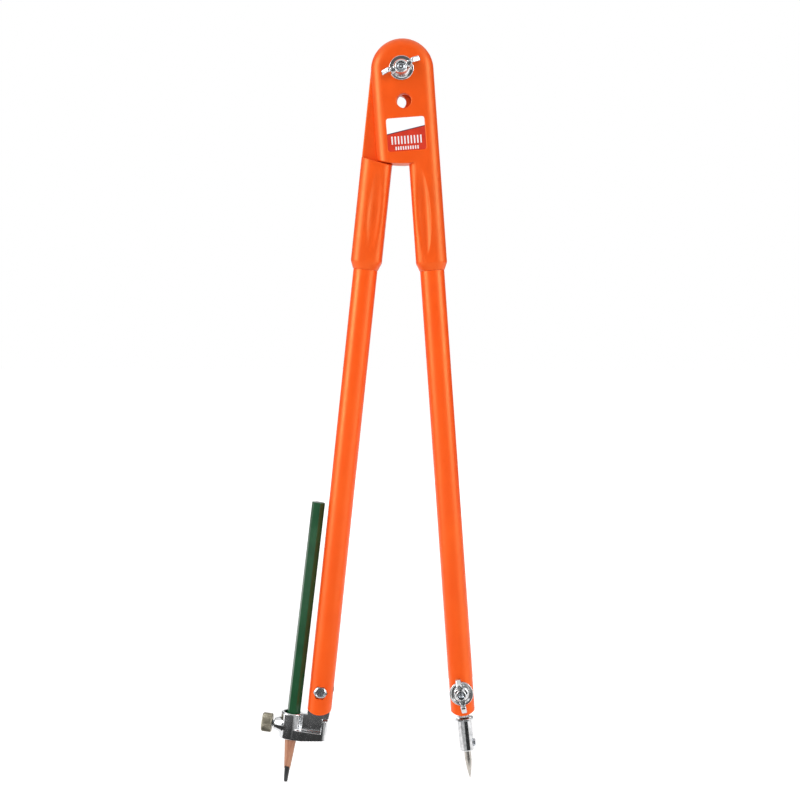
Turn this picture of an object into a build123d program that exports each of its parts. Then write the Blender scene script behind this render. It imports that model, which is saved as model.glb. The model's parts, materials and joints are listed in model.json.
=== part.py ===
from build123d import *
import math
import os

# Large carpenters compass: two half-lap legs on one pivot bolt, with a needle on one foot
# and a pencil clamp on the other. All lengths are millimetres and all angles degrees.
# The origin is on the pivot's axis, on the plane where the two head plates meet.
# +Z is up, the front faces -Y and the needle leg is on the +X side.
# Both legs are the same parts. The pencil leg is one of them turned round, so that its
# head plate lies behind and its foot bolt goes in from the front.

# Rest pose
NEEDLE_LEAN = 4.0
PENCIL_LEAN = 6.0
NEEDLE_HOLDER_LEAN = 5.7
CLAMP_LEAN = 6.8

# Fits
RUNNING_FIT = 0.05
GLUED_FIT = 0.05
POCKET_FIT = 0.08
LAP_GAP = 0.1
SHOULDER_GAP = 0.6
CLOSED_GAP = 0.4

# Head and shank moulding
HEAD_RADIUS = 18.1
PLATE_THICKNESS = 8.0
RIM_RADIUS = 7.0
INNER_RADIUS = 5.7
PLATE_REACH = 54.7
SHANK_END = 112.4
COLLAR_LENGTH = 4.6
COLLAR_LIP = 0.15
SPIGOT_LENGTH = 34.0
SPIGOT_CHAMFER = 1.0
HANG_HOLE_RADIUS = 4.2
HANG_HOLE_DROP = 18.7
HANG_HOLE_CHAMFER = 0.4

# Lens-shaped scoops in the shank's front and back faces
SCOOP_HALF_WIDTH = 4.0
SCOOP_DEPTH = 2.1
SCOOP_LENGTH = 50.5
SCOOP_CENTRE_DROP = 83.6
SCOOP_INSET = 6.6

# Label and its recess
LABEL_WIDTH = 22.0
LABEL_HEIGHT = 19.0
LABEL_THICKNESS = 0.3
LABEL_CORNER = 1.4
LABEL_DROP = 37.9
LABEL_MARGIN = 0.4
LABEL_RECESS = 0.5

# Pivot hardware
PIVOT_BOLT_RADIUS = 2.5
PIVOT_HEAD_FLATS = 8.0
PIVOT_HEAD_HEIGHT = 3.5
PIVOT_HEAD_SINK = 0.2
PIVOT_WASHER_RADIUS = 7.1
PIVOT_WASHER_THICKNESS = 1.2
PIVOT_NUT_SPAN = 24.0
PIVOT_NUT_HEIGHT = 11.5
PIVOT_NUT_BASE_RADIUS = 5.0
PIVOT_NUT_TOP_RADIUS = 4.1
PIVOT_NUT_HUB_HEIGHT = 6.0
PIVOT_NUT_WING = 2.6
PIVOT_NUT_TURN = 22.0

# Leg tube
TUBE_RADIUS = 7.0
TUBE_WALL = 1.3
NEEDLE_FOOT_DROP = 359.8
PENCIL_FOOT_DROP = 362.0
FOOT_END_RADIUS = 12.8
SLOT_WIDTH = 3.4
SLOT_RISE = 8.0
SEAT_CUT = 0.8
SEAT_MARGIN = 0.4

# Plug in the tube's foot
PLUG_RISE = 14.5
PLUG_INSET = 0.4

# Foot hardware, the same on both feet
FOOT_BOLT_RADIUS = 2.0
FOOT_HEAD_FLATS = 7.0
FOOT_HEAD_HEIGHT = 2.8
FOOT_HEAD_SINK = 0.3
FOOT_WASHER_RADIUS = 6.8
FOOT_WASHER_THICKNESS = 1.0
FOOT_NUT_SPAN = 20.0
FOOT_NUT_HEIGHT = 10.0
FOOT_NUT_BASE_RADIUS = 4.3
FOOT_NUT_TOP_RADIUS = 3.5
FOOT_NUT_HUB_HEIGHT = 5.0
FOOT_NUT_WING = 2.2
NEEDLE_NUT_TURN = 97.6
PENCIL_NUT_TURN = 70.0

# Wing nuts, washers and bolts in general
WASHER_EDGE = 0.2
BOLT_END_CHAMFER = 0.5
BOLT_SHORT_OF_HUB = 0.8
HEAD_EDGE = 0.35
WING_EDGE = 0.45

# A wing's side outline. Radii and roundings are parts of the span, heights of the height
WING_HIP = 0.06
WING_PAD = 0.22
WING_LEAN = 0.02
WING_CROTCH = 0.09
WING_FOOT_HEIGHT = 0.08
WING_TIP_HEIGHT = 0.52
WING_EAR_HEIGHT = 0.84
WING_CROTCH_HEIGHT = 0.62
WING_ROUNDINGS = (0.12, 0.08, 0.06, 0.05, 0.06)

# Lug that turns in the foot's slot
LUG_THICKNESS = 3.0
LUG_RADIUS = 6.5
LUG_SHOULDER_DROP = 13.4

# Needle holder and needle
FLANGE_DROP = 15.2
FLANGE_RADIUS = 5.4
FLANGE_THICKNESS = 1.4
BARREL_RADIUS = 4.15
BARREL_END_DROP = 34.2
BARREL_CHAMFER = 0.7
NEEDLE_RADIUS = 1.9
NEEDLE_TIP_DROP = 50.6
NEEDLE_PARALLEL = 5.0
NEEDLE_POINT_RADIUS = 0.12
NEEDLE_FULLNESS = 0.23
NEEDLE_TOP_DROP = 20.0
SET_SCREW_DROP = 30.0
SET_SCREW_RADIUS = 1.25
SET_SCREW_HEAD_RADIUS = 2.1
SET_SCREW_HEAD = 1.5
SET_SCREW_SINK = 0.5
SET_SCREW_SLOT = 0.6

# Pencil clamp
CLAMP_TOP_DROP = 14.3
CLAMP_BOTTOM_DROP = 29.4
CLAMP_FOOT_RISE = 1.9
SCREW_DROP = 22.3
SLEEVE_OFFSET = 15.2
SLEEVE_RADIUS = 6.4
SLEEVE_BORE_RADIUS = 4.8
SLEEVE_EDGE = 0.5
POST_END = 6.1
POST_WIDTH = 3.2
POST_DROP = 16.2
POST_CORNER = 2.4
RIB_HEIGHT = 5.9
FRAME_DEPTH = 12.0
BOSS_BASE_RADIUS = 5.2
BOSS_TOP_RADIUS = 3.2
BOSS_FOOT = 4.8
BOSS_REACH = 3.3

# Thumbscrew
STUD_RADIUS = 2.0
KNOB_RADIUS = 5.4
KNOB_LENGTH = 5.9
KNOB_CHAMFER = 0.6
NECK_LENGTH = 1.2
STUD_PRESS_GAP = 0.1
STUD_IN_KNOB = 4.2

# Pencil
PENCIL_OFFSET = 14.45
PENCIL_FLATS = 6.9
PENCIL_CORNER = 0.5
PENCIL_LENGTH = 163.3
PENCIL_TIP_DROP = 55.1
PENCIL_TWIST = -10.0
LEAD_RADIUS = 1.75
LEAD_FIT = 0.02
LEAD_SHOWN = 9.1
LEAD_TIP_RADIUS = 1.1
LEAD_TIP_ROUND = 0.5
LEAD_WOOD_EDGE = 0.12
CONE_HALF_ANGLE = 5.1

# How far a cutter runs past a face, or one shape into the next
OVERRUN = 1.0

# Sizes that follow from the ones above
SHANK_INNER = CLOSED_GAP / 2
TUBE_OFFSET = (HEAD_RADIUS + SHANK_INNER) / 2
COLLAR_END = SHANK_END + COLLAR_LENGTH
TUBE_BORE = TUBE_RADIUS - TUBE_WALL
SEAT_Y = TUBE_RADIUS - SEAT_CUT
FOOT_POCKET_Y = TUBE_RADIUS - FOOT_HEAD_SINK - FOOT_HEAD_HEIGHT
PIVOT_POCKET_Y = PLATE_THICKNESS - PIVOT_HEAD_SINK - PIVOT_HEAD_HEIGHT


def along_y(radius, low, high, x=0.0, z=0.0):
    """A cylinder whose axis runs along Y, from y = low to y = high."""
    return Pos(x, (low + high) / 2, z) * Rot(90, 0, 0) * Cylinder(radius, high - low)


def block(x_low, x_high, y_low, y_high, z_low, z_high):
    """A box given by its six faces."""
    centre = Pos((x_low + x_high) / 2, (y_low + y_high) / 2, (z_low + z_high) / 2)
    return centre * Box(x_high - x_low, y_high - y_low, z_high - z_low)


def turned(*points):
    """A solid turned on the Z axis from a closed outline of (radius, z) points."""
    outline = make_face(Polyline(*[(r, 0, z) for r, z in points], close=True))
    return revolve(outline, Axis.Z, 360)


def outwards(x, y, z, turn=0.0):
    """Place a fastener made along +Z so that it points to the front, turned on its axis."""
    return Pos(x, y, z) * Rot(90, 0, 0) * Rot(0, 0, turn)


def hexagon(flats):
    """A hexagon given by the width across its flats, with two corners along X."""
    return RegularPolygon(flats / 2, 6, major_radius=False)


def hex_bolt(radius, flats, head_height, length):
    """A bolt whose head's underside is at z = 0, with its shank along +Z."""
    corner = flats / math.sqrt(3)
    head = Pos(0, 0, -head_height) * extrude(hexagon(flats), amount=head_height)
    crown = turned(
        (0, -head_height),
        (flats / 2 - HEAD_EDGE, -head_height),
        (corner + HEAD_EDGE, -head_height + (corner - flats / 2 + 2 * HEAD_EDGE) / 2),
        (corner + HEAD_EDGE, 0),
        (0, 0),
    )
    shank = turned(
        (0, -HEAD_EDGE),
        (radius, -HEAD_EDGE),
        (radius, length - BOLT_END_CHAMFER),
        (radius - BOLT_END_CHAMFER, length),
        (0, length),
    )
    return (head & crown) + shank


def washer(outer, inner, thickness):
    """A plain washer lying on z = 0, with its two outer edges eased."""
    return turned(
        (inner, 0),
        (outer - WASHER_EDGE, 0),
        (outer, WASHER_EDGE),
        (outer, thickness - WASHER_EDGE),
        (outer - WASHER_EDGE, thickness),
        (inner, thickness),
    )


def wing_nut(bolt_radius, base, top, hub_height, span, height, wing):
    """A wing nut standing on z = 0: a tapered hub with two wings that sweep up and out."""
    reach = span / 2
    hub = turned(
        (bolt_radius, 0),
        (base - WASHER_EDGE, 0),
        (base, WASHER_EDGE),
        (top, hub_height - WASHER_EDGE),
        (top - 2 * WASHER_EDGE, hub_height),
        (bolt_radius, hub_height),
    )
    root = (top + bolt_radius) / 2
    foot = WING_FOOT_HEIGHT * height
    corners = [
        (base + WING_HIP * span, foot),
        (reach, WING_TIP_HEIGHT * height),
        (reach - WING_LEAN * span, height),
        (reach - WING_PAD * span, WING_EAR_HEIGHT * height),
        (top + WING_CROTCH * span, WING_CROTCH_HEIGHT * hub_height),
    ]
    points = [(root, foot), *corners, (root, hub_height - WASHER_EDGE)]
    outline = make_face(Polyline(*points, close=True))
    for (r, h), rounding in zip(corners, WING_ROUNDINGS):
        corner = outline.vertices().sort_by_distance((r, h, 0))[0]
        outline = fillet(corner, rounding * span)
    right = extrude(Plane.XZ * outline, amount=wing / 2, both=True)
    sides = right.faces().filter_by(Axis.Y).edges()
    rims = [e for e in sides if e.center().X > root + WASHER_EDGE]
    right = fillet(rims, WING_EDGE)
    bore = Cylinder(bolt_radius, 4 * height)
    return hub + (right - bore) + (Rot(0, 0, 180) * right - bore)


def head_moulding():
    """Half-lap head, shank, collar and spigot of one leg, its head plate in front of the lap."""
    depth = PLATE_THICKNESS - LAP_GAP / 2
    plate = Pos(0, -(PLATE_THICKNESS + LAP_GAP / 2) / 2) * Rectangle(2 * HEAD_RADIUS, depth)
    plate = fillet(plate.vertices().group_by(Axis.Y)[0], RIM_RADIUS)
    right_half = plate & (Pos(HEAD_RADIUS, 0) * Rectangle(2 * HEAD_RADIUS, 4 * PLATE_THICKNESS))
    dome = revolve(right_half, Axis((0, 0, 0), (0, -1, 0)), 180)
    bar = extrude(plate, amount=PLATE_REACH, dir=(0, 0, -1))
    head = dome + (bar & along_y(PLATE_REACH, -2 * PLATE_THICKNESS, 2 * PLATE_THICKNESS))

    shank_width = HEAD_RADIUS - SHANK_INNER
    section = Pos(TUBE_OFFSET, 0) * Rectangle(shank_width, 2 * PLATE_THICKNESS)
    sides = section.vertices().group_by(Axis.X)
    section = fillet(sides[-1], RIM_RADIUS)
    section = fillet(section.vertices().group_by(Axis.X)[0], INNER_RADIUS)
    start = math.sqrt(PLATE_REACH**2 - HEAD_RADIUS**2) - OVERRUN
    shank = Pos(0, 0, -start) * extrude(section, amount=SHANK_END - start, dir=(0, 0, -1))

    # the other leg's plate turns in this round shoulder
    shank -= along_y(PLATE_REACH + SHOULDER_GAP, -LAP_GAP / 2, 2 * PLATE_THICKNESS)

    # the collar narrows the shank down to the tube
    mouth = Pos(TUBE_OFFSET, 0, -COLLAR_END) * Circle(TUBE_RADIUS + COLLAR_LIP)
    collar = loft([Pos(0, 0, -SHANK_END) * section, mouth])
    return head + shank + collar


def scoop():
    """The spindle that cuts one lens-shaped scoop; its axis stands off the face."""
    stand_off = (SCOOP_HALF_WIDTH**2 - SCOOP_DEPTH**2) / (2 * SCOOP_DEPTH)
    middle = stand_off + SCOOP_DEPTH
    arc_radius = ((SCOOP_LENGTH / 2) ** 2 + SCOOP_DEPTH**2) / (2 * SCOOP_DEPTH)
    half = math.sqrt(arc_radius**2 - (arc_radius - middle) ** 2)
    side = ThreePointArc((0, 0, -half), (middle, 0, 0), (0, 0, half))
    spindle = revolve(make_face(side + Line((0, 0, half), (0, 0, -half))), Axis.Z, 360)
    return spindle, stand_off


def leg_head():
    """One leg's whole moulding: head plate, shank with its scoops, collar and spigot."""
    body = head_moulding()
    spindle, stand_off = scoop()
    for side in (-1, 1):
        y = side * (PLATE_THICKNESS + stand_off)
        body -= Pos(SHANK_INNER + SCOOP_INSET, y, -SCOOP_CENTRE_DROP) * spindle

    body -= along_y(PIVOT_BOLT_RADIUS + RUNNING_FIT, -2 * PLATE_THICKNESS, PLATE_THICKNESS)
    pocket = extrude(hexagon(PIVOT_HEAD_FLATS + 2 * POCKET_FIT), amount=PLATE_THICKNESS)
    body -= outwards(0, -PIVOT_POCKET_Y, 0) * pocket

    body -= along_y(HANG_HOLE_RADIUS, -2 * PLATE_THICKNESS, PLATE_THICKNESS, 0, -HANG_HOLE_DROP)
    ease = turned(
        (0, 0),
        (HANG_HOLE_RADIUS, 0),
        (HANG_HOLE_RADIUS + 2 * HANG_HOLE_CHAMFER, 2 * HANG_HOLE_CHAMFER),
        (0, 2 * HANG_HOLE_CHAMFER),
    )
    body -= outwards(0, HANG_HOLE_CHAMFER - PLATE_THICKNESS, -HANG_HOLE_DROP) * ease

    recess = RectangleRounded(
        LABEL_WIDTH + 2 * LABEL_MARGIN, LABEL_HEIGHT + 2 * LABEL_MARGIN, LABEL_CORNER + LABEL_MARGIN
    )
    floor = outwards(0, LABEL_RECESS - PLATE_THICKNESS, -LABEL_DROP)
    body -= floor * extrude(recess, amount=2 * LABEL_RECESS)

    radius = TUBE_BORE - GLUED_FIT
    spigot = turned(
        (0, OVERRUN),
        (radius, OVERRUN),
        (radius, SPIGOT_CHAMFER - SPIGOT_LENGTH),
        (radius - SPIGOT_CHAMFER, -SPIGOT_LENGTH),
        (0, -SPIGOT_LENGTH),
    )
    return body + Pos(TUBE_OFFSET, 0, -COLLAR_END) * spigot


def head_label():
    """The label on the floor of its recess."""
    sheet = RectangleRounded(LABEL_WIDTH, LABEL_HEIGHT, LABEL_CORNER)
    floor = outwards(0, LABEL_RECESS - PLATE_THICKNESS, -LABEL_DROP)
    return floor * extrude(sheet, amount=LABEL_THICKNESS)


def cut_foot(shape, drop, end_radius):
    """Round the foot about its bolt and cut the slot, bolt hole, head pocket and nut seat."""
    far = 4 * TUBE_RADIUS
    x = TUBE_OFFSET
    z = -drop
    below = block(x - far, x + far, -far, far, z - far, z)
    shape -= below - along_y(end_radius, -2 * far, 2 * far, x, z)
    shape -= block(x - far, x + far, -SLOT_WIDTH / 2, SLOT_WIDTH / 2, z - far, z + SLOT_RISE)
    shape -= along_y(FOOT_BOLT_RADIUS + RUNNING_FIT, -far, far, x, z)
    pocket = extrude(hexagon(FOOT_HEAD_FLATS + 2 * POCKET_FIT), amount=far)
    shape -= Pos(x, FOOT_POCKET_Y, z) * Rot(-90, 0, 0) * pocket
    shape -= along_y(FOOT_WASHER_RADIUS + SEAT_MARGIN, -far, -SEAT_Y, x, z)
    return shape


def leg_tube(drop):
    """The tube from the collar to its rounded, slotted foot."""
    length = drop + FOOT_END_RADIUS - COLLAR_END
    tube = Cylinder(TUBE_RADIUS, length) - Cylinder(TUBE_BORE, length)
    return cut_foot(Pos(TUBE_OFFSET, 0, -COLLAR_END - length / 2) * tube, drop, FOOT_END_RADIUS)


def foot_plug(drop):
    """The plug that fills the tube's foot and stiffens its two ears."""
    length = PLUG_RISE + FOOT_END_RADIUS
    plug = Pos(TUBE_OFFSET, 0, PLUG_RISE - drop - length / 2) * Cylinder(TUBE_BORE - GLUED_FIT, length)
    return cut_foot(plug, drop, FOOT_END_RADIUS - PLUG_INSET)


def foot_bolt(drop):
    """The hex bolt across the foot, its head in the pocket on the back."""
    reach = FOOT_POCKET_Y + SEAT_Y + FOOT_WASHER_THICKNESS + FOOT_NUT_HUB_HEIGHT
    bolt = hex_bolt(FOOT_BOLT_RADIUS, FOOT_HEAD_FLATS, FOOT_HEAD_HEIGHT, reach - BOLT_SHORT_OF_HUB)
    return outwards(TUBE_OFFSET, FOOT_POCKET_Y, -drop) * bolt


def foot_washer(drop):
    """The washer on the foot's flat seat."""
    ring = washer(FOOT_WASHER_RADIUS, FOOT_BOLT_RADIUS + 2 * RUNNING_FIT, FOOT_WASHER_THICKNESS)
    return outwards(TUBE_OFFSET, -SEAT_Y, -drop) * ring


def foot_wing_nut(drop, turn):
    """The foot's wing nut, turned on its axis."""
    nut = wing_nut(
        FOOT_BOLT_RADIUS + RUNNING_FIT,
        FOOT_NUT_BASE_RADIUS,
        FOOT_NUT_TOP_RADIUS,
        FOOT_NUT_HUB_HEIGHT,
        FOOT_NUT_SPAN,
        FOOT_NUT_HEIGHT,
        FOOT_NUT_WING,
    )
    return outwards(TUBE_OFFSET, -SEAT_Y - FOOT_WASHER_THICKNESS, -drop, turn) * nut


def pivot_bolt():
    """The hex bolt through both head plates, its head in the rear plate's pocket."""
    reach = PIVOT_POCKET_Y + PLATE_THICKNESS + PIVOT_WASHER_THICKNESS + PIVOT_NUT_HUB_HEIGHT
    bolt = hex_bolt(PIVOT_BOLT_RADIUS, PIVOT_HEAD_FLATS, PIVOT_HEAD_HEIGHT, reach - BOLT_SHORT_OF_HUB)
    return outwards(0, PIVOT_POCKET_Y, 0) * bolt


def pivot_washer():
    """The washer on the front plate."""
    ring = washer(PIVOT_WASHER_RADIUS, PIVOT_BOLT_RADIUS + 2 * RUNNING_FIT, PIVOT_WASHER_THICKNESS)
    return outwards(0, -PLATE_THICKNESS, 0) * ring


def pivot_wing_nut():
    """The wing nut that clamps the two legs."""
    nut = wing_nut(
        PIVOT_BOLT_RADIUS + RUNNING_FIT,
        PIVOT_NUT_BASE_RADIUS,
        PIVOT_NUT_TOP_RADIUS,
        PIVOT_NUT_HUB_HEIGHT,
        PIVOT_NUT_SPAN,
        PIVOT_NUT_HEIGHT,
        PIVOT_NUT_WING,
    )
    return outwards(0, -PLATE_THICKNESS - PIVOT_WASHER_THICKNESS, 0, PIVOT_NUT_TURN) * nut


def lug(shoulder_half_width, shoulder_drop):
    """The flat lug in the foot's slot, round about the bolt and drawn in at its shoulder."""
    disc = along_y(LUG_RADIUS, -LUG_THICKNESS / 2, LUG_THICKNESS / 2)
    outline = Polyline(
        (LUG_RADIUS, 0),
        (LUG_RADIUS, -LUG_SHOULDER_DROP),
        (shoulder_half_width, -shoulder_drop),
        (-shoulder_half_width, -shoulder_drop),
        (-LUG_RADIUS, -LUG_SHOULDER_DROP),
        (-LUG_RADIUS, 0),
        close=True,
    )
    return disc + extrude(Plane.XZ * make_face(outline), amount=LUG_THICKNESS / 2, both=True)


def needle_holder():
    """Lug, flange and barrel in one piece, hanging from its bolt at the origin."""
    edge = WASHER_EDGE
    stem = turned(
        (0, -FLANGE_DROP),
        (FLANGE_RADIUS - edge, -FLANGE_DROP),
        (FLANGE_RADIUS, -FLANGE_DROP - edge),
        (FLANGE_RADIUS, -FLANGE_DROP - FLANGE_THICKNESS + edge),
        (FLANGE_RADIUS - edge, -FLANGE_DROP - FLANGE_THICKNESS),
        (BARREL_RADIUS, -FLANGE_DROP - FLANGE_THICKNESS),
        (BARREL_RADIUS, -BARREL_END_DROP + BARREL_CHAMFER),
        (BARREL_RADIUS - BARREL_CHAMFER, -BARREL_END_DROP),
        (0, -BARREL_END_DROP),
    )
    holder = lug(FLANGE_RADIUS - 2 * edge, FLANGE_DROP + FLANGE_THICKNESS / 2) + stem
    holder -= along_y(FOOT_BOLT_RADIUS + RUNNING_FIT, -2 * LUG_THICKNESS, 2 * LUG_THICKNESS)
    bore = Pos(0, 0, -NEEDLE_TOP_DROP) * extrude(
        Circle(NEEDLE_RADIUS + GLUED_FIT), amount=BARREL_END_DROP, dir=(0, 0, -1)
    )
    holder -= bore
    side = Pos(0, 0, -SET_SCREW_DROP) * Rot(0, 90, 0)
    holder -= side * turned(
        (0, 0),
        (SET_SCREW_RADIUS + GLUED_FIT, 0),
        (SET_SCREW_RADIUS + GLUED_FIT, BARREL_RADIUS - SET_SCREW_SINK),
        (SET_SCREW_HEAD_RADIUS + GLUED_FIT, BARREL_RADIUS - SET_SCREW_SINK),
        (SET_SCREW_HEAD_RADIUS + GLUED_FIT, 2 * BARREL_RADIUS),
        (0, 2 * BARREL_RADIUS),
    )
    return holder


def needle():
    """The steel point: round stock with a long, slightly full taper."""
    top = (0, 0, -NEEDLE_TOP_DROP)
    shoulder = (NEEDLE_RADIUS, 0, -BARREL_END_DROP - NEEDLE_PARALLEL)
    tip = (NEEDLE_POINT_RADIUS, 0, -NEEDLE_TIP_DROP)
    middle = ((shoulder[0] + tip[0]) / 2 + NEEDLE_FULLNESS, 0, (shoulder[2] + tip[2]) / 2)
    outline = (
        Polyline((0, 0, -NEEDLE_TIP_DROP), top, (NEEDLE_RADIUS, 0, -NEEDLE_TOP_DROP), shoulder)
        + ThreePointArc(shoulder, middle, tip)
        + Line(tip, (0, 0, -NEEDLE_TIP_DROP))
    )
    return revolve(make_face(outline), Axis.Z, 360)


def needle_set_screw():
    """The slotted screw in the barrel's side that grips the needle."""
    seat = BARREL_RADIUS - SET_SCREW_SINK
    screw = turned(
        (0, NEEDLE_RADIUS),
        (SET_SCREW_RADIUS, NEEDLE_RADIUS),
        (SET_SCREW_RADIUS, seat),
        (SET_SCREW_HEAD_RADIUS, seat),
        (SET_SCREW_HEAD_RADIUS, seat + SET_SCREW_HEAD - WASHER_EDGE),
        (SET_SCREW_HEAD_RADIUS - WASHER_EDGE, seat + SET_SCREW_HEAD),
        (0, seat + SET_SCREW_HEAD),
    )
    wide = 2 * SET_SCREW_HEAD_RADIUS
    half = SET_SCREW_SLOT / 2
    face = seat + SET_SCREW_HEAD
    screw -= block(-wide, wide, -half, half, face - SET_SCREW_SLOT, face + OVERRUN)
    return Pos(0, 0, -SET_SCREW_DROP) * Rot(0, 90, 0) * screw


def pencil_clamp():
    """The cast clamp: sleeve, web with foot rib and end post, lug and screw boss."""
    top = -CLAMP_TOP_DROP
    bottom = -CLAMP_BOTTOM_DROP
    sleeve_x = -SLEEVE_OFFSET

    # the bar from the sleeve to the post, then its two windows on either side of the web
    plan = Pos((sleeve_x + POST_END) / 2, 0) * Rectangle(POST_END - sleeve_x, FRAME_DEPTH)
    plan = fillet(plan.vertices().group_by(Axis.X)[-1], POST_CORNER)
    frame = Pos(0, 0, bottom) * extrude(plan, amount=top - bottom)
    far = 2 * FRAME_DEPTH
    post_inner = POST_END - POST_WIDTH
    window = block(sleeve_x, post_inner, LUG_THICKNESS / 2, far, bottom + RIB_HEIGHT, top + OVERRUN)
    frame -= window
    frame -= mirror(window, Plane.XZ)
    frame -= block(post_inner, POST_END + OVERRUN, -far, far, -POST_DROP, top + OVERRUN)

    # its underside rises from the sleeve to the post
    wedge = Polyline(
        (sleeve_x + SLEEVE_RADIUS, bottom),
        (POST_END, bottom + CLAMP_FOOT_RISE),
        (POST_END + OVERRUN, bottom + CLAMP_FOOT_RISE),
        (POST_END + OVERRUN, bottom - OVERRUN),
        (sleeve_x + SLEEVE_RADIUS, bottom - OVERRUN),
        close=True,
    )
    frame -= extrude(Plane.XZ * make_face(wedge), amount=far, both=True)

    height = top - bottom
    sleeve = turned(
        (0, 0),
        (SLEEVE_RADIUS - SLEEVE_EDGE, 0),
        (SLEEVE_RADIUS, SLEEVE_EDGE),
        (SLEEVE_RADIUS, height - SLEEVE_EDGE),
        (SLEEVE_RADIUS - SLEEVE_EDGE, height),
        (0, height),
    )
    boss = turned(
        (0, 0),
        (BOSS_BASE_RADIUS, 0),
        (BOSS_BASE_RADIUS, BOSS_FOOT),
        (BOSS_TOP_RADIUS, SLEEVE_RADIUS + BOSS_REACH),
        (0, SLEEVE_RADIUS + BOSS_REACH),
    )
    outward = Pos(sleeve_x, 0, -SCREW_DROP) * Rot(0, -90, 0)
    body = frame + Pos(sleeve_x, 0, bottom) * sleeve + outward * boss + lug(POST_END, POST_DROP)
    body -= Pos(sleeve_x, 0, bottom) * Cylinder(SLEEVE_BORE_RADIUS, 4 * height)
    hole = Pos(0, 0, SLEEVE_RADIUS) * Cylinder(STUD_RADIUS + RUNNING_FIT, 2 * SLEEVE_RADIUS)
    body -= outward * hole
    body -= along_y(FOOT_BOLT_RADIUS + RUNNING_FIT, -far, far)
    return body


def thumbscrew_place():
    """The thumbscrew's axis, pointing out of the sleeve, from the pencil's axis."""
    return Pos(-PENCIL_OFFSET, 0, -SCREW_DROP) * Rot(0, -90, 0)


def thumbscrew_seat():
    """Distance from the pencil's axis to the knob's inner face."""
    return SLEEVE_OFFSET - PENCIL_OFFSET + SLEEVE_RADIUS + BOSS_REACH + NECK_LENGTH


def thumbscrew_stud():
    """The threaded stud from the pencil to inside the knob."""
    start = PENCIL_FLATS / math.sqrt(3) + STUD_PRESS_GAP
    end = thumbscrew_seat() + STUD_IN_KNOB
    stud = turned(
        (0, start),
        (STUD_RADIUS - BOLT_END_CHAMFER, start),
        (STUD_RADIUS, start + BOLT_END_CHAMFER),
        (STUD_RADIUS, end),
        (0, end),
    )
    return thumbscrew_place() * stud


def thumbscrew_knob():
    """The knob, with a blind hole for the stud."""
    inner = thumbscrew_seat()
    outer = inner + KNOB_LENGTH
    bore = STUD_RADIUS + RUNNING_FIT
    hole_end = inner + STUD_IN_KNOB + RUNNING_FIT
    knob = turned(
        (bore, inner),
        (KNOB_RADIUS - KNOB_CHAMFER, inner),
        (KNOB_RADIUS, inner + KNOB_CHAMFER),
        (KNOB_RADIUS, outer - KNOB_CHAMFER),
        (KNOB_RADIUS - KNOB_CHAMFER, outer),
        (0, outer),
        (0, hole_end),
        (bore, hole_end),
    )
    return thumbscrew_place() * knob


def pencil_barrel():
    """The hexagonal pencil, sharpened to a cone that leaves the lead standing out."""
    tip = -PENCIL_TIP_DROP
    top = tip + PENCIL_LENGTH
    wood_end = tip + LEAD_SHOWN
    wood_radius = LEAD_RADIUS + LEAD_WOOD_EDGE
    wide = PENCIL_FLATS
    section = fillet(hexagon(PENCIL_FLATS).vertices(), PENCIL_CORNER)
    stick = Pos(0, 0, wood_end) * Rot(0, 0, PENCIL_TWIST) * extrude(section, amount=top - wood_end)
    cone = turned(
        (0, wood_end),
        (wood_radius, wood_end),
        (wide, wood_end + (wide - wood_radius) / math.tan(math.radians(CONE_HALF_ANGLE))),
        (wide, top),
        (0, top),
    )
    stick &= cone
    stick -= Cylinder(LEAD_RADIUS + LEAD_FIT, 4 * PENCIL_LENGTH)
    return Pos(-PENCIL_OFFSET, 0, 0) * stick


def pencil_lead():
    """The lead, through the whole pencil, with a blunt rounded point."""
    tip = -PENCIL_TIP_DROP
    lead = turned(
        (0, tip),
        (LEAD_TIP_RADIUS - LEAD_TIP_ROUND, tip),
        (LEAD_TIP_RADIUS, tip + LEAD_TIP_ROUND),
        (LEAD_RADIUS, tip + LEAD_SHOWN),
        (LEAD_RADIUS, tip + PENCIL_LENGTH),
        (0, tip + PENCIL_LENGTH),
    )
    return Pos(-PENCIL_OFFSET, 0, 0) * lead


# Where each group stands in the rest pose
needle_leg = Rot(0, -NEEDLE_LEAN, 0)
pencil_leg = Rot(0, PENCIL_LEAN, 0) * Rot(0, 0, 180)
needle_foot = needle_leg * Pos(TUBE_OFFSET, 0, -NEEDLE_FOOT_DROP)
needle_foot = Pos(needle_foot.position) * Rot(0, -NEEDLE_HOLDER_LEAN, 0)
pencil_foot = pencil_leg * Pos(TUBE_OFFSET, 0, -PENCIL_FOOT_DROP)
pencil_foot = Pos(pencil_foot.position) * Rot(0, CLAMP_LEAN, 0)

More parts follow.
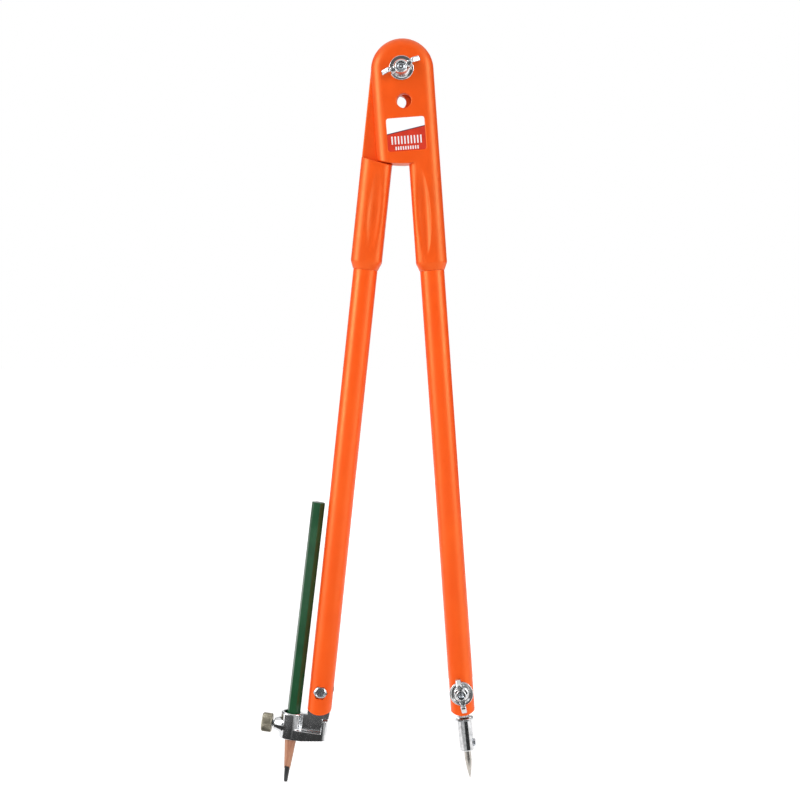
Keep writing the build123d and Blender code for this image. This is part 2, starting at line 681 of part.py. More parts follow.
parts = {
    "needle_leg_head": needle_leg * leg_head(),
    "needle_leg_tube": needle_leg * leg_tube(NEEDLE_FOOT_DROP),
    "needle_foot_plug": needle_leg * foot_plug(NEEDLE_FOOT_DROP),
    "head_label": needle_leg * head_label(),
    "pencil_leg_head": pencil_leg * leg_head(),
    "pencil_leg_tube": pencil_leg * leg_tube(PENCIL_FOOT_DROP),
    "pencil_foot_plug": pencil_leg * foot_plug(PENCIL_FOOT_DROP),
    "pivot_bolt": Rot(0, PENCIL_LEAN, 0) * pivot_bolt(),
    "pivot_washer": pivot_washer(),
    "pivot_wing_nut": pivot_wing_nut(),
    "needle_foot_bolt": needle_leg * foot_bolt(NEEDLE_FOOT_DROP),
    "needle_foot_washer": needle_leg * foot_washer(NEEDLE_FOOT_DROP),
    "needle_foot_wing_nut": needle_leg * foot_wing_nut(NEEDLE_FOOT_DROP, NEEDLE_NUT_TURN),
    "pencil_foot_bolt": pencil_leg * foot_bolt(PENCIL_FOOT_DROP),
    "pencil_foot_washer": pencil_leg * foot_washer(PENCIL_FOOT_DROP),
    "pencil_foot_wing_nut": pencil_leg * foot_wing_nut(PENCIL_FOOT_DROP, PENCIL_NUT_TURN),
    "needle_holder": needle_foot * needle_holder(),
    "needle": needle_foot * needle(),
    "needle_set_screw": needle_foot * needle_set_screw(),
    "pencil_clamp": pencil_foot * pencil_clamp(),
    "thumbscrew_stud": pencil_foot * thumbscrew_stud(),
    "thumbscrew_knob": pencil_foot * thumbscrew_knob(),
    "pencil_barrel": pencil_foot * pencil_barrel(),
    "pencil_lead": pencil_foot * pencil_lead(),
}

os.makedirs("parts", exist_ok=True)
for name, shape in parts.items():
    export_step(shape, f"parts/{name}.step")
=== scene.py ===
# %% [markdown]
# # A carpenters compass, dressed in Blender
#
# The object is a big pair of compasses for marking out wood. Two orange legs turn on one
# bolt at the head. One foot holds a steel needle, the other a clamp with a pencil.
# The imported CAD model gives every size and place, and this lesson adds what CAD leaves
# out: threads, knurling, cast and turned metal, a lacquered pencil and real finishes.
# The first cell loads that model. Lengths are metres, +Z is up and the front faces -Y.

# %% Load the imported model
import json
import math

import bmesh
import bpy
from mathutils import Matrix, Vector


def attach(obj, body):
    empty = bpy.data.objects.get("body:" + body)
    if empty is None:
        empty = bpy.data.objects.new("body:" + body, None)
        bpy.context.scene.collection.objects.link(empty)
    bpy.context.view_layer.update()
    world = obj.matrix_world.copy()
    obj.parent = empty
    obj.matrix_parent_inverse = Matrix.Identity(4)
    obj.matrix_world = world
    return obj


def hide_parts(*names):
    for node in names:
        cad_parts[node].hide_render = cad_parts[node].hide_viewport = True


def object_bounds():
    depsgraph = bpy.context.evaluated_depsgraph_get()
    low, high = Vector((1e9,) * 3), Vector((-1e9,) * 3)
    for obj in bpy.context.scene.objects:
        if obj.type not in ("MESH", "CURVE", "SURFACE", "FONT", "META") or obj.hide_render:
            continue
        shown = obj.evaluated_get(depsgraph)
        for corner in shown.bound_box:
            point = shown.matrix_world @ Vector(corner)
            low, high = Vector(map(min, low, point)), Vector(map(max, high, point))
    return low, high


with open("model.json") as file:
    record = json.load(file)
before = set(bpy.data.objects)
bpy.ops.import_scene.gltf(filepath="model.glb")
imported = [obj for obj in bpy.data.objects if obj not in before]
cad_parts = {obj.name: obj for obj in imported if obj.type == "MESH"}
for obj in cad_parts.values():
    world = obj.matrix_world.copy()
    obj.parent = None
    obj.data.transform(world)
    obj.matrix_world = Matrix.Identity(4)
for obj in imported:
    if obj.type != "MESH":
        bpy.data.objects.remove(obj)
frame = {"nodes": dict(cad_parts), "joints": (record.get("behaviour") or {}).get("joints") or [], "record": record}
cad_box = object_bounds()
nodes = frame["nodes"]
joints = {joint["name"]: joint for joint in frame["joints"]}
mounts = {mount["name"]: mount for mount in frame["record"]["mounts"]}
MM = 0.001

# %% [markdown]
# ## Places
#
# A turned part is easiest to make upright at the origin and to set in place afterwards.
# So each group gets a place: a matrix whose Z axis is the group's own axis. The record
# already holds the pivots, the screw's axis and the two points, so nothing is typed twice.

# %% Find the places of the turned groups
def placed(origin, out, side=(0, 1, 0)):
    """The place at origin whose Z axis is out, and whose X axis is square to side."""
    z = Vector(out).normalized()
    x = Vector(side).cross(z).normalized()
    turn = Matrix((x, z.cross(x), z)).transposed().to_4x4()
    return Matrix.Translation(Vector(origin)) @ turn


def own_points(name, place):
    """A CAD node's points in millimetres, as they lie in a place."""
    back = place.inverted()
    return [back @ vertex.co / MM for vertex in nodes[name].data.vertices]


def reach(name, place):
    """The lowest and the highest corner of a CAD node in a place, in millimetres."""
    points = own_points(name, place)
    return [[pick(point[k] for point in points) for k in range(3)] for pick in (min, max)]


def leg_up(hole):
    """The direction from a leg's hanging hole to the pivot, which is at the origin."""
    return -(Vector(mounts[hole]["pos_m"]) * Vector((1, 0, 1))).normalized()


FRONT = Vector((0, -1, 0))
needle_leg_up = leg_up("hang_hole")
pencil_leg_up = leg_up("hang_hole_rear")
needle_bolt = Vector(joints["needle_tilt"]["pos_m"])
pencil_bolt = Vector(joints["clamp_tilt"]["pos_m"])
needle_point = Vector(mounts["needle_point"]["pos_m"])
needle_axis = placed(needle_bolt, needle_bolt - needle_point)
pencil_axis = placed(mounts["lead_point"]["pos_m"], joints["pencil_slide"]["axis"])
screw_axis = placed(joints["thumbscrew_turn"]["pos_m"], joints["thumbscrew_turn"]["axis"])
print("needle hangs", round((needle_bolt - needle_point).length / MM, 1), "mm below its bolt")

# %% [markdown]
# ## Node trees in few lines
#
# Both kinds of tree, shader and geometry, are nodes with links between them. A wire is
# the output of a node. It takes part in arithmetic, so a formula is written as one, and
# each sign in it adds a Math node to the tree that the wire belongs to.

# %% A wire for formulas
FLOAT, VECTOR = "NodeSocketFloat", "NodeSocketVector"
MATERIAL, GEOMETRY = "NodeSocketMaterial", "NodeSocketGeometry"


class Wire:
    """A node's output that stands in formulas beside numbers and other wires."""

    def __init__(self, socket):
        self.socket = socket
        self.tree = socket.id_data

    def __add__(self, other):
        return maths("ADD", self, other)

    def __sub__(self, other):
        return maths("SUBTRACT", self, other)

    def __rsub__(self, other):
        return maths("SUBTRACT", other, self)

    def __mul__(self, other):
        return maths("MULTIPLY", self, other)

    def __truediv__(self, other):
        return maths("DIVIDE", self, other)

    def __rtruediv__(self, other):
        return maths("DIVIDE", other, self)


# %% Nodes, links and sums
def feed(socket, value):
    """Set a node's input to a value, or link it if the value is a wire."""
    if isinstance(value, Wire):
        value.tree.links.new(value.socket, socket)
    else:
        socket.default_value = value


def add(tree, kind, inputs=None, **settings):
    """Add a node with its settings, and feed its inputs."""
    node = tree.nodes.new(kind)
    for name, value in settings.items():
        setattr(node, name, value)
    for key, value in (inputs or {}).items():
        feed(node.inputs[key], value)
    return node


def wire(tree, kind, inputs=None, output=0, **settings):
    """Add a node and return one of its outputs as a wire."""
    return Wire(add(tree, kind, inputs, **settings).outputs[output])


def maths(operation, *values, clamp=False):
    """The result of a Math node on values, of which at least one is a wire."""
    tree = next(value.tree for value in values if isinstance(value, Wire))
    inputs = dict(enumerate(values))
    return wire(tree, "ShaderNodeMath", inputs, operation=operation, use_clamp=clamp)


def vectors(operation, *values, output=0):
    """The result of a Vector Math node on values, of which the first is a wire."""
    inputs = dict(enumerate(values))
    return wire(values[0].tree, "ShaderNodeVectorMath", inputs, output, operation=operation)


def remapped(value, low, high, to_low=0.0, to_high=1.0):
    """A value mapped from one range to another, and kept inside it."""
    limits = {"From Min": low, "From Max": high, "To Min": to_low, "To Max": to_high}
    return wire(value.tree, "ShaderNodeMapRange", {"Value": value, **limits})


# %% A tree with named inputs
def new_tree(name, kind, inputs, outputs, **sizes):
    """A node group with inputs and outputs of the given types, and a number for each size."""
    tree = bpy.data.node_groups.new(name, kind)
    for label, socket in inputs.items():
        tree.interface.new_socket(label, in_out="INPUT", socket_type=socket)
    for label, value in sizes.items():
        made = tree.interface.new_socket(label.replace("_", " "), in_out="INPUT", socket_type=FLOAT)
        made.default_value = value
    for label, socket in outputs.items():
        tree.interface.new_socket(label, in_out="OUTPUT", socket_type=socket)
    given = {output.name: Wire(output) for output in add(tree, "NodeGroupInput").outputs}
    return tree, given, add(tree, "NodeGroupOutput").inputs


# %% [markdown]
# ## Shared surface effects
#
# Every real surface varies a little. Moulded plastic has a fine grain and a slow wave,
# powder coat has orange peel, turned steel has rings round its axis, and plating picks
# up cloudy smears. Each effect is a shader node group, built once and used by several
# materials with their own sizes. A texture repeats per metre, so a feature of a
# millimetre asks for a scale of a thousand, and the groups take sizes instead.

# %% Cloudy variation and fine relief
def noise_at(where, size, detail=2.0, stretch=None):
    """A noise value from 0 to 1 whose blobs are about size metres across."""
    if stretch:
        where = vectors("MULTIPLY", where, stretch)
    inputs = {"Vector": where, "Scale": 1.0 / size, "Detail": detail}
    return wire(where.tree, "ShaderNodeTexNoise", inputs)


def new_effect(name, outputs, **sizes):
    """A shader group that takes coordinates and sizes, and puts out one or two numbers."""
    numbers = {label: FLOAT for label in outputs}
    return new_tree(name, "ShaderNodeTree", {"Vector": VECTOR}, numbers, **sizes)


# clouds between a low and a high value
soft_clouds, given, out = new_effect("soft clouds", ["Value"], Size=0.01, Low=0.0, High=1.0)
noise = noise_at(given["Vector"], given["Size"], 3.0)
feed(out["Value"], remapped(noise, 0.32, 0.68, given["Low"], given["High"]))

# fine grain on a slow wave, as a height in metres
bumpy_skin, given, out = new_effect(
    "bumpy skin", ["Height"], Grain_Size=4e-4, Grain_Depth=1e-5, Wave_Size=6e-3, Wave_Depth=2e-5,
)
grain = noise_at(given["Vector"], given["Grain Size"]) * given["Grain Depth"]
wave = noise_at(given["Vector"], given["Wave Size"], 1.0) * given["Wave Depth"]
feed(out["Height"], grain + wave)
print("groups", soft_clouds.name, "and", bumpy_skin.name)

# %% [markdown]
# Turned parts need rings about their own axis. The distance from the axis and the height
# along it drive a noise of one dimension, so the rings are uneven as a tool leaves them.
# Edge wear and a painted edge highlight both come from comparing the true normal with one
# rounded over a small radius: they differ only near an edge.

# %% Tool rings, hairline scratches, and edge wear with a painted highlight
tool_rings, given, out = new_effect("tool rings", ["Height", "Value"], Spacing=2e-4, Depth=4e-6)
radius = vectors("LENGTH", vectors("MULTIPLY", given["Vector"], (1, 1, 0)), output="Value")
along = wire(tool_rings, "ShaderNodeSeparateXYZ", {0: given["Vector"]}, 2)
inputs = {"W": (radius + along) / given["Spacing"], "Scale": 1.0, "Detail": 2.0}
noise = wire(tool_rings, "ShaderNodeTexNoise", inputs, noise_dimensions="1D")
feed(out["Height"], noise * given["Depth"])
feed(out["Value"], noise)

# hairlines: the thin places where a stretched noise crosses its middle, broken by clouds
hairlines, given, out = new_effect("hairlines", ["Mask"], Size=0.004, Width=0.012)
lines = noise_at(given["Vector"], given["Size"], 1.0, stretch=(2.6, 1.0, 0.35))
thin = maths("SUBTRACT", 1.0, maths("ABSOLUTE", lines - 0.5) / given["Width"], clamp=True)
broken = noise_at(given["Vector"], given["Size"] * 0.7, 2.0)
feed(out["Mask"], thin * remapped(broken, 0.5, 0.62))

# edges painted paler in patches: partly wear, partly a painted highlight where edges catch light
edge_wear_and_painted_highlight, given, out = new_effect("edge wear and painted highlight", ["Mask"], Radius=0.0005)
soft = wire(edge_wear_and_painted_highlight, "ShaderNodeBevel", {"Radius": given["Radius"]}, samples=4)
true = wire(edge_wear_and_painted_highlight, "ShaderNodeNewGeometry", output="Normal")
match = vectors("DOT_PRODUCT", soft, true, output="Value")
in_patches = remapped(noise_at(given["Vector"], 0.003, 3.0), 0.4, 0.6)
feed(out["Mask"], remapped(match, 0.995, 0.85) * in_patches)
print("groups", tool_rings.name, hairlines.name, edge_wear_and_painted_highlight.name)

# %% [markdown]
# ## Finishes
#
# Each finish is one Principled shader. What is the same all over, such as the coat's
# roughness, is set on the shader itself. What changes over the surface comes from the
# groups. The CAD nodes read Object coordinates, because they all sit at the origin. A
# piece made here also carries its own upright coordinates, in an attribute named own,
# so that rings and grain follow its axis wherever it leans.

# %% Start a finish
def new_finish(name, colour, roughness, metallic=0.0, own=False, **sockets):
    """A material with one Principled shader. Returns it, the shader's inputs and coordinates."""
    material = bpy.data.materials.new(name)
    material.use_nodes = True
    tree = material.node_tree
    shader = tree.nodes["Principled BSDF"].inputs
    plain = {"Base_Color": (*colour, 1), "Roughness": roughness, "Metallic": metallic, **sockets}
    for label, value in plain.items():
        feed(shader[label.replace("_", " ")], value)
    if own:
        return material, shader, wire(tree, "ShaderNodeAttribute", output="Vector", attribute_name="own")
    return material, shader, wire(tree, "ShaderNodeTexCoord", output="Object")


def effect(group, where, output=0, **sizes):
    """One of the shared groups on these coordinates, with its own sizes."""
    inputs = {label.replace("_", " "): value for label, value in sizes.items()}
    return wire(where.tree, "ShaderNodeGroup", {"Vector": where, **inputs}, output, node_tree=group)


def blend_colours(factor, low, high):
    """A colour that goes from low to high with the factor."""
    low, high = (value if isinstance(value, Wire) else (*value, 1) for value in (low, high))
    return wire(factor.tree, "ShaderNodeMix", {0: factor, 6: low, 7: high}, 2, data_type="RGBA")


def cloudy_colour(where, size, dark, light):
    """A colour that drifts between two shades in clouds of a size."""
    return blend_colours(effect(soft_clouds, where, Size=size, Low=0.0, High=1.0), dark, light)


def press_in(shader, height):
    """Turn a height in metres into the shader's normal."""
    inputs = {"Height": height, "Distance": 1.0, "Strength": 1.0}
    feed(shader["Normal"], wire(height.tree, "ShaderNodeBump", inputs))


def skin_on(where, grain, wave):
    """A bumpy skin whose grain and wave are each (size, depth)."""
    sizes = {"Grain_Size": grain[0], "Grain_Depth": grain[1]}
    return effect(bumpy_skin, where, Wave_Size=wave[0], Wave_Depth=wave[1], **sizes)


# %% [markdown]
# The two heads are moulded in orange plastic, with a satin skin that the mould leaves.
# The tubes are steel with a powder coat of nearly the same orange, a little glossier and
# with orange peel. Both colours sit at the edge of what a screen can show.

# %% Orange moulding and orange powder coat
POWDER_ORANGE = ((0.93, 0.072, 0.002), (0.97, 0.086, 0.003))
MOULDED_ORANGE = ((0.82, 0.068, 0.002), (0.89, 0.080, 0.003))
# the paler orange of the edges: partly wear, partly a painted highlight
ORANGE_WEAR_AND_HIGHLIGHT = (0.98, 0.17, 0.03)
ORANGE_SHEEN = (1.0, 0.88, 0.32, 1)


def orange_finish(name, shades, roughness, grain, wave):
    """An orange between two shades, with a grain and a wave of the given sizes and depths."""
    material, shader, where = new_finish(
        name, shades[1], roughness, Specular_IOR_Level=1.0, Specular_Tint=ORANGE_SHEEN,
    )
    edges = effect(edge_wear_and_painted_highlight, where, Radius=0.0006)
    colour = cloudy_colour(where, 0.018, *shades)
    # the edges blend towards a paler orange: partly wear, partly a painted highlight
    feed(shader["Base Color"], blend_colours(edges * 0.35, colour, ORANGE_WEAR_AND_HIGHLIGHT))
    rough = effect(soft_clouds, where, Size=0.007, Low=roughness - 0.04, High=roughness + 0.04)
    lines = effect(hairlines, where, Size=0.009, Width=0.006)
    feed(shader["Roughness"], rough + lines * 0.04)
    press_in(shader, skin_on(where, grain, wave))
    return material


orange_moulding = orange_finish("orange moulding", MOULDED_ORANGE, 0.42, (3.5e-4, 6e-6), (0.007, 3e-5))
powder_coat = orange_finish("orange powder coat", POWDER_ORANGE, 0.36, (1.1e-3, 8e-6), (0.009, 2e-5))
print("finishes", orange_moulding.name, "and", powder_coat.name)

# %% [markdown]
# The bright parts are plated. Plating is a mirror with faint clouds, and the bolts are
# zinc plated: duller, bluish and marked by the tools. The needle's holder has pitted
# plating. The needle is ground steel, and the thumbscrew's knob has old nickel, a warm
# grey.

# %% Plated and ground metals
def metal_finish(name, dark, light, roughness, rings, cloud_size=0.004):
    """A metal with clouds in its tone, rings of a (spacing, depth) and a few hairlines."""
    material, shader, where = new_finish(name, light, roughness, metallic=1.0, own=True)
    feed(shader["Base Color"], cloudy_colour(where, cloud_size, dark, light))
    rough = effect(soft_clouds, where, Size=0.0023, Low=roughness * 0.75, High=roughness * 1.3)
    lines = effect(hairlines, where, Size=0.003, Width=0.01)
    feed(shader["Roughness"], rough + lines * 0.1)
    press_in(shader, effect(tool_rings, where, Spacing=rings[0], Depth=rings[1]))
    return material


bright_plate = metal_finish("bright plate", (0.62, 0.63, 0.64), (0.82, 0.83, 0.84), 0.10, (3e-4, 1.2e-6))
cast_plate = metal_finish("plated casting", (0.60, 0.61, 0.62), (0.80, 0.81, 0.82), 0.12, (4e-3, 2e-5))
pitted_plate = metal_finish(
    "pitted plating", (0.52, 0.53, 0.54), (0.78, 0.79, 0.80), 0.15, (2.1e-3, 2e-5), 0.0022,
)
zinc_plate = metal_finish("zinc plate", (0.46, 0.49, 0.53), (0.66, 0.69, 0.72), 0.20, (2.5e-4, 4e-6))
ground_steel = metal_finish("ground steel", (0.43, 0.41, 0.375), (0.63, 0.60, 0.555), 0.26, (1.8e-4, 4e-6))
old_nickel = metal_finish("old nickel", (0.22, 0.20, 0.15), (0.46, 0.43, 0.34), 0.36, (4e-4, 4e-6))
print("metals", bright_plate.name, cast_plate.name, zinc_plate.name, ground_steel.name, old_nickel.name)

# %% [markdown]
# The plug in each tube's foot is black plastic. It hardly shows, but it gets its grain.

# %% Black plugs, and the CAD nodes that stay
black_plug, shader, where = new_finish("black plug", (0.02, 0.02, 0.022), 0.5)
feed(shader["Base Color"], cloudy_colour(where, 0.003, (0.014, 0.014, 0.015), (0.03, 0.03, 0.032)))
press_in(shader, skin_on(where, (4e-4, 1e-5), (0.004, 1e-5)))
for node, material in (("leg_tube", powder_coat), ("foot_plug", black_plug)):
    for side in ("needle_", "pencil_"):
        mesh = nodes[side + node].data
        mesh.materials.clear()
        mesh.materials.append(material)
        print("dressed", side + node, "in", material.name)

# %% [markdown]
# ## Making a piece
#
# Most pieces here are rings of points joined one to the next: a lathe turns a profile,
# and a hexagon or a pencil only bends each ring. So one function joins rings, one rounds
# the corners of an outline, and one puts the finished mesh in its place. That last one
# also stores the upright coordinates, in metres, as own.

# %% Rounded outlines
def rounded(corners, steps=4, closed=False):
    """The points of an outline of (x, y, radius) corners, with each corner rounded."""
    points = []
    count = len(corners)
    for k, (x, y, radius) in enumerate(corners):
        here = Vector((x, y))
        if radius == 0 or (not closed and k in (0, count - 1)):
            points.append((x, y))
            continue
        before = (Vector(corners[k - 1][:2]) - here).normalized()
        after = (Vector(corners[(k + 1) % count][:2]) - here).normalized()
        half = before.angle(after) / 2
        centre = here + (before + after).normalized() * radius / math.sin(half)
        start = here + before * radius / math.tan(half) - centre
        end = here + after * radius / math.tan(half) - centre
        swing = start.angle_signed(end)
        for step in range(steps + 1):
            angle = -swing * step / steps
            turned = Vector((
                start.x * math.cos(angle) - start.y * math.sin(angle),
                start.x * math.sin(angle) + start.y * math.cos(angle),
            ))
            points.append(tuple(centre + turned))
    return points


# %% Rings of points
def joined(rings, loop=False):
    """A mesh that joins rings of points in millimetres. A ring of one point is a pole."""
    verts = []
    starts = []
    for ring in rings:
        starts.append(len(verts))
        verts.extend(Vector(point) * MM for point in ring)
    pairs = [(k, k + 1) for k in range(len(rings) - 1)]
    if loop:
        pairs.append((len(rings) - 1, 0))
    faces = []
    for a, b in pairs:
        count = max(len(rings[a]), len(rings[b]))
        for k in range(count):
            m = (k + 1) % count
            around = ((a, k), (a, m), (b, m), (b, k))
            corners = [starts[ring] + (point if len(rings[ring]) > 1 else 0) for ring, point in around]
            faces.append(list(dict.fromkeys(corners)))
    mesh = bpy.data.meshes.new("rings")
    mesh.from_pydata(verts, [], faces)
    return mesh


def full_turn(count):
    """Evenly spaced angles all the way round."""
    return [math.tau * k / count for k in range(count)]


def polar(radius, angle, z):
    """The point at a radius, an angle and a height."""
    return (radius * math.cos(angle), radius * math.sin(angle), z)


def lathe(profile, segments=72, loop=False):
    """A profile of (radius, height) points in millimetres turned round the Z axis."""
    rings = []
    for radius, height in profile:
        angles = full_turn(segments) if radius > 0 else [0]
        rings.append([polar(radius, angle, height) for angle in angles])
    return joined(rings, loop)


# %% Merging shells and turning them outwards
def reshaped(mesh, change):
    """A mesh after a change, which is a function of the open mesh."""
    bm = bmesh.new()
    bm.from_mesh(mesh)
    change(bm)
    bm.to_mesh(mesh)
    bm.free()
    return mesh


def merged(first, *others):
    """Several meshes as one."""
    def take_in(bm):
        for mesh in others:
            bm.from_mesh(mesh)
            bpy.data.meshes.remove(mesh)
    return reshaped(first, take_in)


def outwards(mesh):
    """Turn every face of closed shells to the outside."""
    def change(bm):
        bmesh.ops.remove_doubles(bm, verts=bm.verts, dist=1e-7)
        bmesh.ops.recalc_face_normals(bm, faces=bm.faces)
    return reshaped(mesh, change)


# %% A piece in its place
def new_object(name, data):
    """An object in the scene that shows this data."""
    made = bpy.data.objects.new(name, data)
    bpy.context.collection.objects.link(made)
    return made


def piece(name, mesh, place, body, materials, replaced, sharp=32):
    """Set a mesh in its place as a piece of a body, with its finishes, instead of a CAD node."""
    own = mesh.attributes.new("own", "FLOAT_VECTOR", "POINT")
    own.data.foreach_set("vector", [x for vertex in mesh.vertices for x in vertex.co])
    mesh.transform(place)
    mesh.shade_smooth()
    mesh.set_sharp_from_angle(angle=math.radians(sharp))
    mesh.name = name
    mesh.materials.clear()
    for material in materials:
        mesh.materials.append(material)
    made = new_object(name, mesh)
    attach(made, body)
    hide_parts(replaced)
    print(name, "has", len(mesh.polygons), "faces on", body)
    return made


# %% Modifiers made real
def evaluated(mesh, *modifiers):
    """A mesh after modifiers, each (type, settings) or (node tree, inputs)."""
    carrier = new_object("carrier", mesh)
    for kind, settings in modifiers:
        if isinstance(kind, str):
            modifier = carrier.modifiers.new(kind, kind)
            for key, value in settings.items():
                setattr(modifier, key, value)
            continue
        modifier = carrier.modifiers.new("nodes", "NODES")
        modifier.node_group = kind
        for item in kind.interface.items_tree:
            if item.in_out == "INPUT" and item.name in settings:
                modifier[item.identifier] = settings[item.name]
    shown = carrier.evaluated_get(bpy.context.evaluated_depsgraph_get())
    result = bpy.data.meshes.new_from_object(shown)
    bpy.data.objects.remove(carrier)
    return result


def softened(mesh, voxel, rounds):
    """The common skin of a mesh's shells, in cubes of voxel millimetres, smoothed in rounds."""
    return evaluated(
        mesh,
        ("REMESH", {"mode": "VOXEL", "voxel_size": voxel * MM, "use_smooth_shade": True}),
        ("SMOOTH", {"factor": 0.5, "iterations": rounds}),
    )


# %% [markdown]
# ## Threads by Geometry Nodes
#
# A screw thread follows a rule, so a node tree makes it. A flat grid is laid with its
# rows along the helix: each column starts a little higher than the last, by one pitch in
# a full turn. The grid is then rolled into a tube whose radius swings between root and
# crest once in a pitch. Because the rows follow the helix, the crests come out crisp
# with few faces. Rows past either end fold in to the axis, which closes the ends.

# %% Rolling a grid up
def flat_grid(tree, span, columns, rows):
    """A grid to roll up, the angle that each point will have, and its place along the span."""
    size = {"Size X": math.tau, "Size Y": span, "Vertices X": columns, "Vertices Y": rows}
    grid = wire(tree, "GeometryNodeMeshGrid", size)
    position = wire(tree, "GeometryNodeInputPosition")
    across, up = (wire(tree, "ShaderNodeSeparateXYZ", {0: position}, k) for k in (0, 1))
    return grid, across + math.pi, up


def roll_up(grid, radius, angle, height, material, out):
    """Roll the grid round the Z axis, weld it, and put it out with its material."""
    tree = grid.tree
    round_axis = {0: radius * maths("COSINE", angle), 1: radius * maths("SINE", angle), 2: height}
    rolled = wire(tree, "ShaderNodeCombineXYZ", round_axis)
    shaped = wire(tree, "GeometryNodeSetPosition", {"Geometry": grid, "Position": rolled})
    welded = wire(tree, "GeometryNodeMergeByDistance", {"Geometry": shaped, "Distance": 1e-7})
    real = wire(tree, "GeometryNodeRealizeInstances", {0: welded})
    feed(out[0], wire(tree, "GeometryNodeSetMaterial", {"Geometry": real, "Material": material}))


# %% A tree for threads
screw_thread, given, out = new_tree(
    "screw thread", "GeometryNodeTree", {"Material": MATERIAL}, {"Geometry": GEOMETRY},
    Radius=0.0025, Root=0.0021, Pitch=0.0008, Length=0.01, Chamfer=0.0005, Columns=49.0, Rows_per_Pitch=8.0,
)
crest, root, pitch, length = (given[name] for name in ("Radius", "Root", "Pitch", "Length"))
span = length + pitch
rows = maths("ROUND", span / pitch * given["Rows per Pitch"]) + 1.0
grid, angle, up = flat_grid(screw_thread, span, given["Columns"], rows)
along = up + span / 2.0

# the tooth: a triangle wave with its crest and root flattened
tooth = maths("SUBTRACT", maths("PINGPONG", along / pitch, 0.5) * 2.6, 0.3, clamp=True)
radius = root + tooth * (crest - root)

# each column starts higher along the helix, and the ends are cut square
height = along - pitch + pitch * (angle / math.tau)
above = length - height
radius = maths("MINIMUM", radius, crest - given["Chamfer"] + above)
inside = maths("GREATER_THAN", height, 0.0) * maths("GREATER_THAN", above, 0.0)
height = maths("MAXIMUM", maths("MINIMUM", height, length), 0.0)
roll_up(grid, radius * inside, angle, height, given["Material"], out)
print("thread tree of", len(screw_thread.nodes), "nodes")


def thread(radius, pitch, low, high):
    """A thread of the given radius and pitch from z = low to z = high, in millimetres."""
    sizes = {"Radius": radius, "Root": radius - 0.58 * pitch, "Pitch": pitch, "Length": high - low}
    sizes["Chamfer"] = 0.6 * pitch
    inputs = {label: size * MM for label, size in sizes.items()}
    rod = evaluated(bpy.data.meshes.new("thread"), (screw_thread, {"Material": zinc_plate, **inputs}))
    rod.transform(Matrix.Translation((0, 0, low * MM)))
    return rod


# %% [markdown]
# ## Bolts
#
# Three hex bolts hold the compass together. A cold-formed head has a crown turned on
# its top, so each flat ends in an arc, and a shallow dish inside a bright rim. The crown
# is a cone cut by the hexagon: every column of points meets the cone at its own height.
# The bolt, washer and nut of each place share one set of sizes, in millimetres.

# %% Hexagon heads and threaded ends
CORNER_CUT = 0.2
CROWN_SHARE = 0.47
CROWN_SLOPE = 0.62
ARC_RISE = 0.34
HEAD_DISH = 0.45
BOLT_END = [
    (0, -1.5), (0.90, -1.5), (0.90, -0.5), (0.64, -0.02), (0.61, 0), (0.54, -0.3), (0.2, -0.34),
    (0.1, -0.14), (0, -0.1),
]


def hexagon_radius(angle, flats):
    """Distance from the axis to a hexagon's edge in one direction, corners along X."""
    sixth = math.tau / 6
    off_middle = (angle % sixth) - sixth / 2
    return min(flats / 2 / math.cos(off_middle), flats / math.sqrt(3) - CORNER_CUT)


def hex_head(flats, height):
    """A bolt head from z = 0 down to its dished crown at z = -height, with a washer face."""
    angles = full_turn(96)
    crown = CROWN_SHARE * flats

    def hexagon(shrink, z):
        return [polar(hexagon_radius(a, flats) - shrink, a, z) for a in angles]

    arcs = []
    for a in angles:
        r = hexagon_radius(a, flats)
        arcs.append(polar(r, a, -height + ARC_RISE + max(0, (r - crown) * CROWN_SLOPE)))
    washer_face = [polar(0.46 * flats, a, 0) for a in angles]
    rings = [[(0, 0, 0)], washer_face, hexagon(0.12, -0.1), hexagon(0, -0.25), arcs]
    dish = HEAD_DISH * 1.1
    for share, rise in ((1, 0.26), (0.88, 0), (0.84, 0), (0.72, HEAD_DISH), (0.30, dish)):
        rings.append([polar(share * crown, a, -height + rise) for a in angles])
    return joined([*rings, [(0, 0, -height + dish)]])


def turned_end(radius, z):
    """The end of a bolt: a broad bevel round a dished middle with the pip that the tool left."""
    return lathe([(share * radius, z + rise) for share, rise in BOLT_END], 48)


# %% The three bolts
M5 = {
    "radius": 2.5, "pitch": 0.8, "flats": 8.0, "head": 3.5, "bore": 2.65,
    "hub": (5.0, 4.1, 6.0), "voxel": 0.17,
}
M4 = {
    "radius": 2.0, "pitch": 0.7, "flats": 7.0, "head": 2.8, "bore": 2.15,
    "hub": (4.3, 3.5, 5.0), "voxel": 0.15,
}
THREAD_LENGTH = 8
THREAD_STOP = 0.7
OVERLAP = 0.5


def bolt(name, place, body, size):
    """A hex bolt in its place, its head behind and its threaded end in front."""
    low, high = reach(name + "_bolt", place)
    radius, end = size["radius"], high[2]
    shoulder = low[2] + size["head"]
    head = hex_head(size["flats"], size["head"])
    head.transform(Matrix.Translation((0, 0, shoulder * MM)))
    start = end - THREAD_LENGTH
    first, last = shoulder - OVERLAP, start + OVERLAP
    shank = lathe([(0, first), (radius, first), (radius, last), (0, last)], 48)
    screw = thread(radius, size["pitch"], start, end - THREAD_STOP)
    mesh = outwards(merged(head, shank, screw, turned_end(radius, end)))
    piece(name + "_hex_bolt", mesh, place, body, [zinc_plate], name + "_bolt")


BOLTED = [
    ("pivot", placed((0, 0, 0), FRONT, pencil_leg_up), "pencil_leg", M5),
    ("needle_foot", placed(needle_bolt, FRONT, needle_leg_up), "needle_leg", M4),
    ("pencil_foot", placed(pencil_bolt, -FRONT, pencil_leg_up), "pencil_leg", M4),
]
for name, place, body, size in BOLTED:
    bolt(name, place, body, size)

